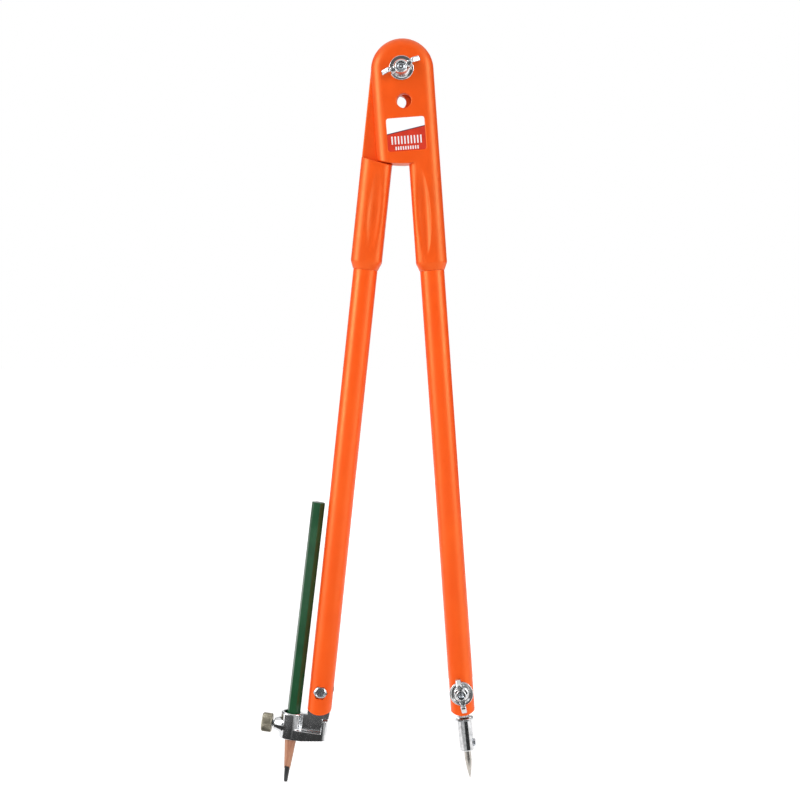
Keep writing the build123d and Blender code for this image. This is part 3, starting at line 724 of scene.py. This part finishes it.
# %% [markdown]
# ## Washers
#
# A stamped washer is rounded where the punch went in, and sharp where it came out. Its
# face is very slightly dished. The lathe profile has those roundings, and the finish adds
# the rings.

# %% Three washers
WASHER_DISH = 0.14


def washer(name, place, bore):
    """A washer turned to the CAD node's size, with a rounded rim and a dished face."""
    low, high = reach(name, place)
    outer, bottom, top = high[0], low[2], high[2]
    profile = rounded([
        (bore, bottom, 0.1), (outer - 0.05, bottom, 0.12), (outer, bottom + 0.1, 0.05),
        (outer, top, 0.42), (outer - 1.1, top, 0.3), (outer - 2.0, top - WASHER_DISH, 0.5),
        (bore, top - WASHER_DISH, 0.12),
    ], closed=True)
    return outwards(lathe(profile, 96, loop=True))


for name, place, body, size in BOLTED:
    node = name + "_washer"
    mesh = washer(node, place, size["bore"])
    piece(name + "_plain_washer", mesh, place, node, [bright_plate], node)

# %% [markdown]
# ## Wing nuts
#
# A wing nut is cast in one, so nothing on it is sharp: the wings melt into the hub and
# swell to paddles. Bevelled solids would show a seam. Instead the hub and two plates are
# simply pushed into each other, and a voxel remesh takes their common skin. A few rounds
# of smoothing then pull a fillet into every corner, as the casting has.

# %% One wing
WING_LEAN = 0.3
WING_THIN = 2.0
WING_THICK = 3.0
ROOT_FLARE = 2.6
FLARE_LENGTH = 1.9
RIM_INSET = 0.90
RIM_THICKNESS = 0.76


def wing_plate(root, crotch, tip, ear):
    """One wing as a closed plate, standing along X, thicker towards its paddle."""
    foot, pad = 0.09 * ear, 0.43 * tip
    outline = rounded([
        (root, foot, 0), (tip * 0.62, foot * 1.1, 1.6), (tip, ear * 0.34, 1.4),
        (tip - WING_LEAN, ear - 0.64 * pad, 1.0), (tip - pad, ear, 0.8), (*crotch, 1.3),
        (root, crotch[1] - 0.2, 0),
    ], steps=6)

    def half(x):
        share = min(1, max(0, (x - root) / (tip - pad - root)))
        flare = ROOT_FLARE * math.exp(-(((x - root) / FLARE_LENGTH) ** 2))
        return (WING_THIN + flare + (WING_THICK - WING_THIN) * share * share * (3 - 2 * share)) / 2

    # two rings at the rim, thinner than the plate, and one further in on each face round it off
    middle = Vector((tip * 0.62, ear * 0.5))
    inner = [tuple(middle + (Vector(point) - middle) * RIM_INSET) for point in outline]
    sides = ((inner, 1), (outline, RIM_THICKNESS), (outline, -RIM_THICKNESS), (inner, -1))
    mesh = joined([[(x, half(x) * share, z) for x, z in points] for points, share in sides])

    def close(bm):
        open_edges = [edge for edge in bm.edges if edge.is_boundary]
        bmesh.ops.holes_fill(bm, edges=open_edges, sides=0)
        bmesh.ops.triangulate(bm, faces=[face for face in bm.faces if len(face.verts) > 4])
    return outwards(reshaped(mesh, close))


# %% Cast wing nuts
CAST_ROUNDS = 18
BORE_FIT = 0.15
WING_END = 0.97


def hub_core(bore, base, top, height):
    """A wing nut's hub: a flange at the base, a waist and a rounded top."""
    profile = rounded([
        (bore, 0, 0.1), (base, 0, 0.25), (base, 1.0, 0.3), (base - 0.7, 1.5, 0.5),
        (top + 0.15, height - 1.7, 0.6), (top - 0.5, height - 0.5, 0.7), (bore + 0.35, height, 0.2),
        (bore, height - 0.4, 0.1),
    ], closed=True)
    return outwards(lathe(profile, 72, loop=True))


def wing_nut(node, place, size):
    """A cast wing nut where the CAD node stands, turned as the node's wings are."""
    low, high = reach(node, place)
    points = own_points(node, place)
    span = max(math.hypot(p.x, p.y) for p in points)
    far = [p for p in points if math.hypot(p.x, p.y) > WING_END * span and p.x + 2 * p.y > 0]
    turn = math.atan2(sum(p.y for p in far), sum(p.x for p in far))
    base, top, hub_height = size["hub"]
    shells = [hub_core(size["radius"] + BORE_FIT, base, top, hub_height)]
    for angle in (0, math.pi):
        crotch = (top + 0.9, hub_height * 0.66)
        plate = wing_plate(size["radius"] + 0.5, crotch, span, high[2] - low[2])
        plate.transform(Matrix.Rotation(angle, 4, "Z"))
        shells.append(plate)
    skin = softened(merged(*shells), size["voxel"], CAST_ROUNDS)
    skin.transform(Matrix.Translation((0, 0, low[2] * MM)) @ Matrix.Rotation(turn, 4, "Z"))
    return skin


for name, place, body, size in BOLTED:
    node = name + "_wing_nut"
    mesh = wing_nut(node, place, size)
    piece(name + "_cast_wing_nut", mesh, place, name + "_nut", [cast_plate], node, sharp=180)

# %% [markdown]
# ## Castings and mouldings from the CAD shapes
#
# The clamp and the two heads have the right shape in CAD already, with edges as sharp as
# a drawing. The clamp is a casting and the heads are mouldings, so they go through the
# same remesh and smoothing as the nuts. The clamp's end post gets a broad bevel first,
# and the scoops in the heads' shanks are eased afterwards, as a worn mould leaves them.

# %% The pencil clamp
def copied(node, place):
    """A CAD node's mesh with its loose triangles merged, moved back to its own upright place."""
    mesh = nodes[node].data.copy()
    mesh.transform(place.inverted())
    return reshaped(mesh, lambda bm: bmesh.ops.remove_doubles(bm, verts=bm.verts, dist=1e-6))


POST_EDGE = 6.1
POST_SIDE = 5.5
POST_FACE_HALF = 4.2
NEAR = 0.2
CLAMP_VOXEL, CLAMP_ROUNDS = 0.24, 5
clamp = copied("pencil_clamp", pencil_axis)
edge = (pencil_axis.inverted() @ pencil_bolt).x / MM + POST_EDGE
moved = 0
for vertex in clamp.vertices:
    if abs(vertex.co.x / MM - edge) < NEAR and abs(vertex.co.y / MM) > POST_SIDE:
        vertex.co.y = math.copysign(POST_FACE_HALF * MM, vertex.co.y)
        moved += 1
print("clamp post", moved, "points moved, edge at", round(edge, 2))
skin = softened(clamp, CLAMP_VOXEL, CLAMP_ROUNDS)
piece(
    "cast_pencil_clamp", skin, pencil_axis, "pencil_clamp", [cast_plate],
    "pencil_clamp", sharp=180,
)

# %% The two heads
SCOOP_X = 6.8
SCOOP_DROP = 83.6
SCOOP_REACH = 5
SCOOP_HALF_LENGTH = 30
SCOOP_LEAST_Y = 2
SCOOP_ROUNDS = 60
HEAD_VOXEL, HEAD_ROUNDS = 0.42, 4


def ease_scoops(mesh, front, back):
    """Smooth a shank's scoops between two values of x in front and two behind, in millimetres."""
    def smooth(bm):
        chosen = []
        for vertex in bm.verts:
            x, y, z = vertex.co / MM
            low, high = front if y < 0 else back
            if low < x < high and abs(z + SCOOP_DROP) < SCOOP_HALF_LENGTH and abs(y) > SCOOP_LEAST_Y:
                chosen.append(vertex)
        for _ in range(SCOOP_ROUNDS):
            bmesh.ops.smooth_vert(
                bm, verts=chosen, factor=0.5, use_axis_x=False, use_axis_y=True, use_axis_z=False,
            )
        print("scoop points eased", len(chosen))
    reshaped(mesh, smooth)


whole = (SCOOP_X - SCOOP_REACH, SCOOP_X + SCOOP_REACH)
inner_half = (SCOOP_X - SCOOP_REACH, SCOOP_X)
mirrored = [tuple(-x for x in reversed(span)) for span in (whole, inner_half)]
for leg, up, front, back in (
    ("needle_leg", needle_leg_up, inner_half, whole), ("pencil_leg", pencil_leg_up, *mirrored),
):
    node = leg + "_head"
    place = placed((0, 0, 0), up)
    skin = softened(copied(node, place), HEAD_VOXEL, HEAD_ROUNDS)
    ease_scoops(skin, front, back)
    piece("moulded_" + node, skin, place, leg, [orange_moulding], node, sharp=180)

# %% [markdown]
# The needle's holder and its set screw are machined, so their edges only get a small
# bevel. The lug's neck is slimmed first, by moving a few of the CAD points.

# %% The needle holder and its set screw
LUG_HALF = 1.6
NECK_FOOT = (-16.3, -15.0)
NECK_FOOT_X = 2.6
NECK_TOP = (-14.0, -13.0)
NECK_TOP_X = 3.4
NECK_TOP_Z = -12.0
HOLDER_BEVEL = 0.16
SCREW_BEVEL = 0.08


def bevelled(mesh, width):
    """A mesh whose edges have a small round bevel, its width in millimetres."""
    limits = {"limit_method": "ANGLE", "angle_limit": math.radians(35)}
    return evaluated(mesh, ("BEVEL", {"width": width * MM, "segments": 2, **limits}))


holder = copied("needle_holder", needle_axis)
for vertex in holder.vertices:
    x, y, z = vertex.co / MM
    if abs(y) < LUG_HALF and NECK_FOOT[0] < z < NECK_FOOT[1] and abs(x) > NECK_FOOT_X:
        vertex.co.x = math.copysign(NECK_FOOT_X * MM, x)
    elif abs(y) < LUG_HALF and NECK_TOP[0] < z < NECK_TOP[1]:
        vertex.co.x, vertex.co.z = math.copysign(NECK_TOP_X * MM, x), NECK_TOP_Z * MM
mesh = bevelled(holder, HOLDER_BEVEL)
piece(
    "turned_needle_holder", mesh, needle_axis, "needle_holder", [pitted_plate],
    "needle_holder",
)
mesh = bevelled(copied("needle_set_screw", needle_axis), SCREW_BEVEL)
piece(
    "slotted_set_screw", mesh, needle_axis, "needle_holder", [zinc_plate],
    "needle_set_screw",
)

# %% [markdown]
# ## The needle
#
# The needle is ground to a long taper that is slightly full, like a scribe. A lathe
# profile with a few more points near the tip makes it, in ground steel.

# %% The ground needle
NEEDLE_RADIUS = 1.9
TAPER_LENGTH = 11.4
TAPER_FULLNESS = 0.23
TIP_RADIUS = 0.1
TIP_LENGTH = 0.12
needle_low, needle_high = reach("needle", needle_axis)
tip_z, top_z = needle_low[2], needle_high[2]
shoulder_z = tip_z + TAPER_LENGTH
taper = []
for step in range(15):
    share = step / 14
    full = TAPER_FULLNESS * 4 * share * (1 - share)
    radius = TIP_RADIUS + (NEEDLE_RADIUS - TIP_RADIUS) * share + full
    taper.append((radius, tip_z + TIP_LENGTH + (shoulder_z - tip_z - TIP_LENGTH) * share))
needle_profile = [(0, tip_z), (0.06, tip_z + 0.03), *taper, (NEEDLE_RADIUS, top_z), (0, top_z)]
mesh = outwards(lathe(needle_profile, 64))
piece("ground_needle", mesh, needle_axis, "needle_holder", [ground_steel], "needle", sharp=40)

# %% [markdown]
# ## The thumbscrew
#
# The stud is a thread again. The knob is knurled: two sets of grooves cross, one left
# and one right handed, and leave small pyramids. A node tree rolls a grid into a closed
# drum and sinks it by the distance to the nearest groove, so the count of pyramids, the
# depth and the chamfer are plain inputs.

# %% A tree for knurled drums
knurled_drum, given, out = new_tree(
    "knurled drum", "GeometryNodeTree", {"Material": MATERIAL}, {"Geometry": GEOMETRY},
    Radius=0.0056, Length=0.0068, Chamfer=0.0006, Depth=0.0003, Around=36.0, Lead=0.001, Margin=0.0002,
    Columns=217.0, Rows=145.0,
)
length, margin = given["Length"], given["Margin"]
face = given["Radius"] - given["Chamfer"]
grid, angle, up = flat_grid(knurled_drum, length + face * 2.0, given["Columns"], given["Rows"])
along = up + length / 2.0
height = maths("MAXIMUM", maths("MINIMUM", along, length), 0.0)

# the drum: its side, its two chamfers, and two faces that run in to the axis
from_end = maths("MINIMUM", along, length - along)
side = maths("MAXIMUM", maths("MINIMUM", given["Radius"], face + from_end), 0.0)

# the two sets of grooves, and the depth below the crests
around = angle / math.tau * given["Around"]
climb = along / given["Lead"]
nearest = maths("MINIMUM", *(maths("PINGPONG", turn, 0.5) for turn in (around + climb, around - climb)))
crest = maths("MULTIPLY", nearest, 2.6, clamp=True)
on_band = maths("DIVIDE", from_end - margin, margin, clamp=True)
sunk = (1.0 - crest) * given["Depth"] * on_band
roll_up(grid, side - sunk, angle, height, given["Material"], out)
print("drum tree of", len(knurled_drum.nodes), "nodes")

# %% The knob and its stud
knob_low, knob_high = reach("thumbscrew_knob", screw_axis)
sizes = {"Radius": knob_high[0] * MM, "Length": (knob_high[2] - knob_low[2]) * MM}
drum = evaluated(bpy.data.meshes.new("drum"), (knurled_drum, {"Material": old_nickel, **sizes}))
drum.transform(Matrix.Translation((0, 0, knob_low[2] * MM)))
piece("knurled_knob", drum, screw_axis, "thumbscrew_knob", [old_nickel], "thumbscrew_knob", 50)

stud_low, stud_high = reach("thumbscrew_stud", screw_axis)
stud = thread(stud_high[0], M4["pitch"], stud_low[2], stud_high[2])
piece("threaded_stud", stud, screw_axis, "thumbscrew_stud", [zinc_plate], "thumbscrew_stud", 50)

# %% [markdown]
# ## The pencil
#
# A pencil is a lacquered hexagon that a sharpener has cut to a cone. Where the cone
# meets the flats the lacquer ends in scallops, because each flat meets it further down
# than the corners do. The height of that border follows from the cone, so each column of
# points ends its lacquer exactly there. The bare wood ends in small tongues on the lead.

# %% Lacquer, cedar and graphite
coat = {"Coat_Weight": 0.2, "Coat_Roughness": 0.12, "Specular_IOR_Level": 0.3}
green_lacquer, shader, where = new_finish("green lacquer", (0.012, 0.066, 0.030), 0.30, own=True, **coat)
feed(shader["Base Color"], cloudy_colour(where, 0.012, (0.007, 0.058, 0.020), (0.013, 0.086, 0.030)))
fibres = noise_at(where, 0.0005, 2.0, stretch=(1, 1, 0.03))
wave = noise_at(where, 0.004, 1.0, stretch=(1, 1, 0.3))
press_in(shader, fibres * 6e-6 + wave * 2e-5)

# cedar: fine fibres along the pencil, with darker growth bands
bare_cedar, shader, where = new_finish("bare cedar", (0.50, 0.23, 0.14), 0.62, own=True)
band = remapped(noise_at(where, 0.0016, 3.0, stretch=(1, 1, 0.08)), 0.38, 0.62)
colour = blend_colours(band, (0.40, 0.165, 0.095), (0.60, 0.30, 0.185))
fibres = noise_at(where, 0.00025, 2.0, stretch=(1, 1, 0.04))
fine = remapped(fibres, 0.3, 0.7, 0.0, 0.35)
feed(shader["Base Color"], blend_colours(fine, colour, (0.33, 0.13, 0.07)))
press_in(shader, fibres * 4e-5)

# graphite: nearly black with a soft grey sheen, marked by the sharpener
graphite, shader, where = new_finish("graphite", (0.03, 0.03, 0.032), 0.38, metallic=0.35, own=True)
press_in(shader, effect(tool_rings, where, Spacing=0.00035, Depth=0.00001))
tone = effect(tool_rings, where, output=1, Spacing=0.0005)
feed(shader["Base Color"], blend_colours(tone, (0.018, 0.018, 0.019), (0.07, 0.07, 0.075)))
print("pencil finishes", green_lacquer.name, bare_cedar.name, graphite.name)

# %% The barrel's section and its borders
PENCIL_FLATS = 6.9
PENCIL_CORNER = 0.5
PENCIL_TWIST = math.radians(-10)
LEAD_RADIUS = 1.75
LEAD_SHOWN = 9.1
CONE_SLOPE = math.tan(math.radians(5.1))
CONE_END = 34
LACQUER = 0.07
BORE_RADIUS = LEAD_RADIUS + 0.02
WOOD_RADIUS = LEAD_RADIUS + 0.12
WOOD_MARGIN = 0.012
FLAT_STEPS = 8

corner = PENCIL_FLATS / math.sqrt(3)
hexagon = [(*polar(corner, angle + PENCIL_TWIST, 0)[:2], PENCIL_CORNER) for angle in full_turn(6)]
outline = rounded(hexagon, steps=4, closed=True)
columns = []
for k, (x, y) in enumerate(outline):
    columns.append((x, y))
    nx, ny = outline[(k + 1) % len(outline)]
    if math.hypot(nx - x, ny - y) > 1:
        shares = [t / FLAT_STEPS for t in range(1, FLAT_STEPS)]
        columns += [(x + (nx - x) * t, y + (ny - y) * t) for t in shares]
section = [(math.atan2(y, x), math.hypot(x, y)) for x, y in columns]
print("pencil section of", len(section), "points")


def straight(shrink, z):
    """The hexagon's ring at a height, drawn in a little."""
    return [polar(r - shrink, a, z) for a, r in section]


def border(radius):
    """The height at which the cone reaches a radius."""
    return LEAD_SHOWN + (radius - WOOD_RADIUS) / CONE_SLOPE


def tongue(angle):
    """The height at which the wood ends on the lead."""
    return LEAD_SHOWN - 1.1 + 1.7 * abs(math.sin(1.5 * angle + 0.9)) + 0.35 * math.sin(5 * angle)


def is_wood(polygon):
    """Whether a face of the barrel lies on the cone or in the bore below the lacquer."""
    radius, z = polygon.center.to_2d().length / MM, polygon.center.z / MM
    return radius < WOOD_RADIUS + (z - LEAD_SHOWN) * CONE_SLOPE + WOOD_MARGIN and z < CONE_END


# %% The barrel
RING_STEPS = 8
TOP_EDGE = ((0.32, 0), (0.1, 0.08), (0, 0.3))
LIP_ABOVE, LIP_BELOW = 0.05, 0.12
top = reach("pencil_barrel", pencil_axis)[1][2]
rings = [straight(shrink, top - drop) for shrink, drop in TOP_EDGE]
edge = top - TOP_EDGE[-1][1]
for k in range(1, RING_STEPS + 1):
    rings.append(straight(0, edge - (edge - CONE_END) * k / RING_STEPS))
rings.append([polar(r, a, border(r) + LIP_ABOVE) for a, r in section])
rings.append([polar(r - LACQUER, a, border(r) - LIP_BELOW) for a, r in section])
for k in range(1, RING_STEPS + 1):
    cone = []
    for a, r in section:
        start = border(r - LACQUER)
        z = start + (tongue(a) - start) * k / RING_STEPS
        cone.append(polar(WOOD_RADIUS + (z - LEAD_SHOWN) * CONE_SLOPE, a, z))
    rings.append(cone)
rings.append([polar(BORE_RADIUS, a, tongue(a)) for a, r in section])
rings.append([polar(BORE_RADIUS, a, top) for a, r in section])
barrel = outwards(joined(rings, loop=True))
wood_faces = [int(is_wood(polygon)) for polygon in barrel.polygons]
made = piece(
    "hexagonal_pencil", barrel, pencil_axis, "pencil", [green_lacquer, bare_cedar],
    "pencil_barrel", sharp=35,
)
made.data.polygons.foreach_set("material_index", wood_faces)

# %% The lead
SHARPENED_LEAD = [
    (0.45, 0.02), (0.76, 0.16), (0.98, 0.42), (1.1, 0.9), (1.25, 3.0), (1.42, 5.5), (1.56, 7.6), (1.67, 9.0),
]
FACETS = 7
FACET_DEPTH = 0.035
FACET_TWIST = 0.35
LEAD_SEGMENTS = 40
lead_top = reach("pencil_lead", pencil_axis)[1][2]
lead_rings = [[(0, 0, 0)]]
for radius, height in SHARPENED_LEAD:
    ring = []
    for angle in full_turn(LEAD_SEGMENTS):
        facet = 1 - FACET_DEPTH * abs(math.sin(FACETS / 2 * angle + FACET_TWIST * height))
        ring.append(polar(radius * facet, angle, height))
    lead_rings.append(ring)
for radius, height in ((LEAD_RADIUS, 9.9), (LEAD_RADIUS, lead_top - 0.1), (LEAD_RADIUS - 0.1, lead_top)):
    lead_rings.append([polar(radius, angle, height) for angle in full_turn(LEAD_SEGMENTS)])
mesh = outwards(joined([*lead_rings, [(0, 0, lead_top)]]))
piece("graphite_lead", mesh, pencil_axis, "pencil", [graphite], "pencil_lead", sharp=40)

# %% [markdown]
# ## The label
#
# The head carries a printed label in a shallow recess: white above, red below, with a
# thin dark line where they meet. It carries no words, only two rows of plain bars in the
# red field. The colours are a pattern of the label's own upright coordinates, and a
# gloss coat lies over the print.

# %% A plain two-tone label
LABEL_DROP = 37.9
LABEL_CORNER = 1.4
LABEL_EDGE = 0.06
SLANT = 0.17
SLANT_RISE = 0.0022
FIELD_BLUR = 0.0001
LINE_HALF = 0.00035
BAR_COLOUR = (0.85, 0.84, 0.84)
BAR_ROWS = ((-3.3, 2.3, 9.2, 1.84, 0.42), (-7.9, 1.0, 7.0, 1.4, 0.5))

coat = {"Coat_Weight": 0.4, "Coat_Roughness": 0.12}
printed_label, shader, where = new_finish("printed label", (0.85, 0.85, 0.87), 0.35, own=True, **coat)
x, y = (wire(where.tree, "ShaderNodeSeparateXYZ", {0: where}, k) for k in (0, 1))
above = y - (x * SLANT + SLANT_RISE)
upper = maths("DIVIDE", above, FIELD_BLUR, clamp=True)
line = maths("SUBTRACT", 1.0, maths("ABSOLUTE", above) / LINE_HALF, clamp=True)
red = cloudy_colour(where, 0.006, (0.56, 0.026, 0.007), (0.70, 0.038, 0.010))
white = cloudy_colour(where, 0.006, (0.93, 0.93, 0.95), (1.0, 1.0, 1.0))
colour = blend_colours(upper, red, white)
colour = blend_colours(maths("MULTIPLY", line, 2.0, clamp=True), colour, (0.05, 0.02, 0.05))

# each row of bars: its middle, half its height, half its width, the spacing and a bar's share
for middle, tall, wide, spacing, share in BAR_ROWS:
    row = maths("LESS_THAN", maths("ABSOLUTE", y / MM - middle), tall)
    width = maths("LESS_THAN", maths("ABSOLUTE", x / MM), wide)
    part = maths("FRACT", (x / MM + wide) / spacing)
    bar = maths("LESS_THAN", maths("ABSOLUTE", part - 0.5), share / 2)
    colour = blend_colours(row * width * bar, colour, BAR_COLOUR)
feed(shader["Base Color"], colour)
feed(shader["Roughness"], effect(soft_clouds, where, Size=0.004, Low=0.28, High=0.42))
press_in(shader, noise_at(where, 0.005, 1.0) * 2e-5)
print("finish", printed_label.name)

# %% The label's sheet
label_place = placed(-needle_leg_up * LABEL_DROP * MM, FRONT, needle_leg_up)
label_low, label_high = reach("head_label", label_place)


def label_outline(shrink, z):
    """The label's rounded outline at one height."""
    x, y = label_high[0] - shrink, label_high[1] - shrink
    corners = [(*corner, LABEL_CORNER - shrink) for corner in ((x, y), (-x, y), (-x, -y), (x, -y))]
    return [(px, py, z) for px, py in rounded(corners, steps=8, closed=True)]


bottom, top = label_low[2], label_high[2]
mesh = outwards(joined([
    [(0, 0, bottom)], label_outline(0, bottom), label_outline(0, top - LABEL_EDGE),
    label_outline(LABEL_EDGE, top), [(0, 0, top)],
]))
piece("two_tone_label", mesh, label_place, "needle_leg", [printed_label], "head_label")

# %% [markdown]
# ## Stage, lights and camera
#
# The object stands on its two points on a white floor. The floor and the world are lifted
# to white only where the camera, a mirror or glass sees them, so that white adds no light.
# Two tall soft boxes at the sides leave a soft band of light on each side of a tube, and
# a low lamp in front throws the faint shadow that runs back over the floor. A soft box
# behind keeps the back clear. Cards that only mirrors see give the bright metal something
# dark and something grey to reflect.

# %% Helpers for the stage
FLOOR_Z = cad_box[0].z
LIFT_NEAR = 0.50
LIFT_FAR = 0.78
WORLD_LIGHT = 0.35


def seen_directly(tree):
    """1 where the camera, a mirror or glass looks, and 0 for the light that surfaces scatter."""
    path = add(tree, "ShaderNodeLightPath").outputs
    camera, mirror, glass = (Wire(path[f"Is {kind} Ray"]) for kind in ("Camera", "Glossy", "Transmission"))
    return maths("MAXIMUM", maths("MAXIMUM", camera, mirror), glass)


def emptied(owner):
    """The node tree of a material or a world, without its first nodes."""
    owner.use_nodes = True
    owner.node_tree.nodes.clear()
    return owner.node_tree


def plain_mesh(name, points, faces, material):
    """A mesh object of the stage."""
    mesh = bpy.data.meshes.new(name)
    mesh.from_pydata(points, [], faces)
    mesh.materials.append(material)
    made = new_object(name, mesh)
    return made


# %% The white floor and world
# the floor keeps shadows, and is lifted to white where it is seen
white_floor = bpy.data.materials.new("white floor")
tree = emptied(white_floor)
matt = wire(tree, "ShaderNodeBsdfDiffuse", {"Color": (0.8, 0.8, 0.8, 1)})
flat = vectors("MULTIPLY", wire(tree, "ShaderNodeTexCoord", output="Object"), (1, 1, 0))
square = vectors("DOT_PRODUCT", flat, flat, output="Value")
near = (LIFT_NEAR - LIFT_FAR) / (square * 2.0 + 1.0)
lift = wire(tree, "ShaderNodeEmission", {"Strength": seen_directly(tree) * (near + LIFT_FAR)})
both = wire(tree, "ShaderNodeAddShader", {0: matt, 1: lift})
add(tree, "ShaderNodeOutputMaterial", {"Surface": both})
corners = [(x, y, FLOOR_Z) for x, y in ((-6, -4), (6, -4), (6, 8), (-6, 8))]
plain_mesh("studio_floor", corners, [(0, 1, 2, 3)], white_floor)

world = bpy.data.worlds.new("studio")
bpy.context.scene.world = world
tree = emptied(world)
strength = seen_directly(tree) * (1 - WORLD_LIGHT) + WORLD_LIGHT
glow = wire(tree, "ShaderNodeBackground", {"Color": (1, 1, 1, 1), "Strength": strength})
add(tree, "ShaderNodeOutputWorld", {"Surface": glow})
print("floor at", round(FLOOR_Z / MM, 1), "mm")

# %% Soft boxes and a low front lamp
LIT_MIDDLE = Vector((0, 0, -0.18))


def round_object(azimuth, distance, z):
    """The point at an angle round the object from the front, in degrees, at a distance."""
    angle = math.radians(azimuth)
    return Vector((math.sin(angle) * distance, -math.cos(angle) * distance, z))


def soft_box(name, azimuth, height, distance, size, watts, mirrored=True):
    """A rectangular lamp at an angle round the object, facing its middle."""
    data = bpy.data.lights.new(name, "AREA")
    data.shape = "RECTANGLE"
    data.size, data.size_y = size
    data.energy = watts
    lamp = new_object(name, data)
    lamp.location = LIT_MIDDLE + round_object(azimuth, distance, height)
    lamp.rotation_euler = (LIT_MIDDLE - lamp.location).to_track_quat("-Z", "Y").to_euler()
    lamp.visible_camera = False
    lamp.visible_glossy = mirrored
    print(name, watts, "W")


soft_box("left_soft_box", -65, 0.42, 1.3, (0.7, 0.95), 11.5)
soft_box("right_soft_box", 68, 0.42, 1.3, (0.7, 0.95), 8.5)
soft_box("low_front_lamp", 5, 0.62, 2.2, (0.5, 0.5), 11, mirrored=False)
soft_box("rear_soft_box", 184, 0.7, 1.7, (1.4, 1.4), 5, mirrored=False)

# %% Dark and pale cards for the mirrors
BEND_STEPS = 16
CARD_Z = FLOOR_Z + 0.0002

# each card on the floor: x at both ends of its near edge and of its far edge, the y of the
# two edges, and its tone
FLOOR_CARDS = [
    ((-0.10, -0.035), (-0.50, -0.035), (-0.01, -0.13), 0.05),
    ((-0.50, -0.035), (-0.50, -0.035), (-0.13, -0.6), 0.13),
    ((-0.035, -0.018), (-0.035, -0.018), (-0.02, -0.6), 0.13),
    ((-0.018, 0.0), (-0.018, 0.0), (-0.02, -0.6), 0.38),
    ((0.0, 0.036), (0.0, 0.024), (-0.024, -0.15), 0.62),
    ((0.036, 0.072), (0.024, 0.27), (-0.024, -0.15), 0.04),
    ((0.022, 0.20), (0.022, 0.20), (-0.15, -0.6), 0.16),
]


def card(name, rows, tone):
    """A card between two rows of points that only mirrors see, as photographers set for metal."""
    material = bpy.data.materials.new(name)
    tree = emptied(material)
    glow = wire(tree, "ShaderNodeEmission", {"Color": (1, 1, 1, 1), "Strength": tone})
    add(tree, "ShaderNodeOutputMaterial", {"Surface": glow})
    count = len(rows[0])
    faces = [(k, k + 1, count + k + 1, count + k) for k in range(count - 1)]
    made = plain_mesh(name, [*rows[0], *rows[1]], faces, material)
    made.visible_camera = made.visible_diffuse = made.visible_shadow = made.visible_transmission = False


def bent_card(name, first, last, distance, top, tone):
    """A card bent round the object between two azimuths, from above the floor to a height."""
    azimuths = [first + (last - first) * k / BEND_STEPS for k in range(BEND_STEPS + 1)]
    card(name, [[round_object(a, distance, z) for a in azimuths] for z in (-0.4, top)], tone)


bent_card("front_card", -20, 26, 1.5, 1.4, 0.13)
bent_card("pale_front_card", -48, 52, 1.6, 1.3, 0.4)
bent_card("left_rear_card", -150, -86, 1.6, 1.2, 0.2)
bent_card("right_rear_card", 90, 160, 1.6, 1.2, 0.04)
for number, (near, far, (near_y, far_y), tone) in enumerate(FLOOR_CARDS):
    rows = [[(x, near_y, CARD_Z) for x in near], [(x, far_y, CARD_Z) for x in far]]
    card(f"floor_card_{number}", rows, tone)
print("cards on the floor", len(FLOOR_CARDS))

# %% The camera
PHOTO_SIZE = 800
FOCAL_PIXELS = 1547.0
CAMERA_AZIMUTH = 3.0
CAMERA_DISTANCE = 0.894
CAMERA_Z = -0.1467
AIM_X = -0.0013
HORIZON_ROW = 324.0
SENSOR = 36.0
camera_data = bpy.data.cameras.new("camera")
camera_data.sensor_width = SENSOR
camera_data.lens = SENSOR * FOCAL_PIXELS / PHOTO_SIZE
camera_data.shift_y = (HORIZON_ROW - PHOTO_SIZE / 2) / PHOTO_SIZE
camera = new_object("camera", camera_data)
camera.location = Vector((AIM_X, 0, CAMERA_Z)) + round_object(CAMERA_AZIMUTH, CAMERA_DISTANCE, 0)
camera.rotation_euler = (math.pi / 2, 0, math.radians(CAMERA_AZIMUTH))
bpy.context.scene.camera = camera
bpy.context.scene.view_settings.view_transform = "Standard"
print("camera at", [round(x, 3) for x in camera.location])
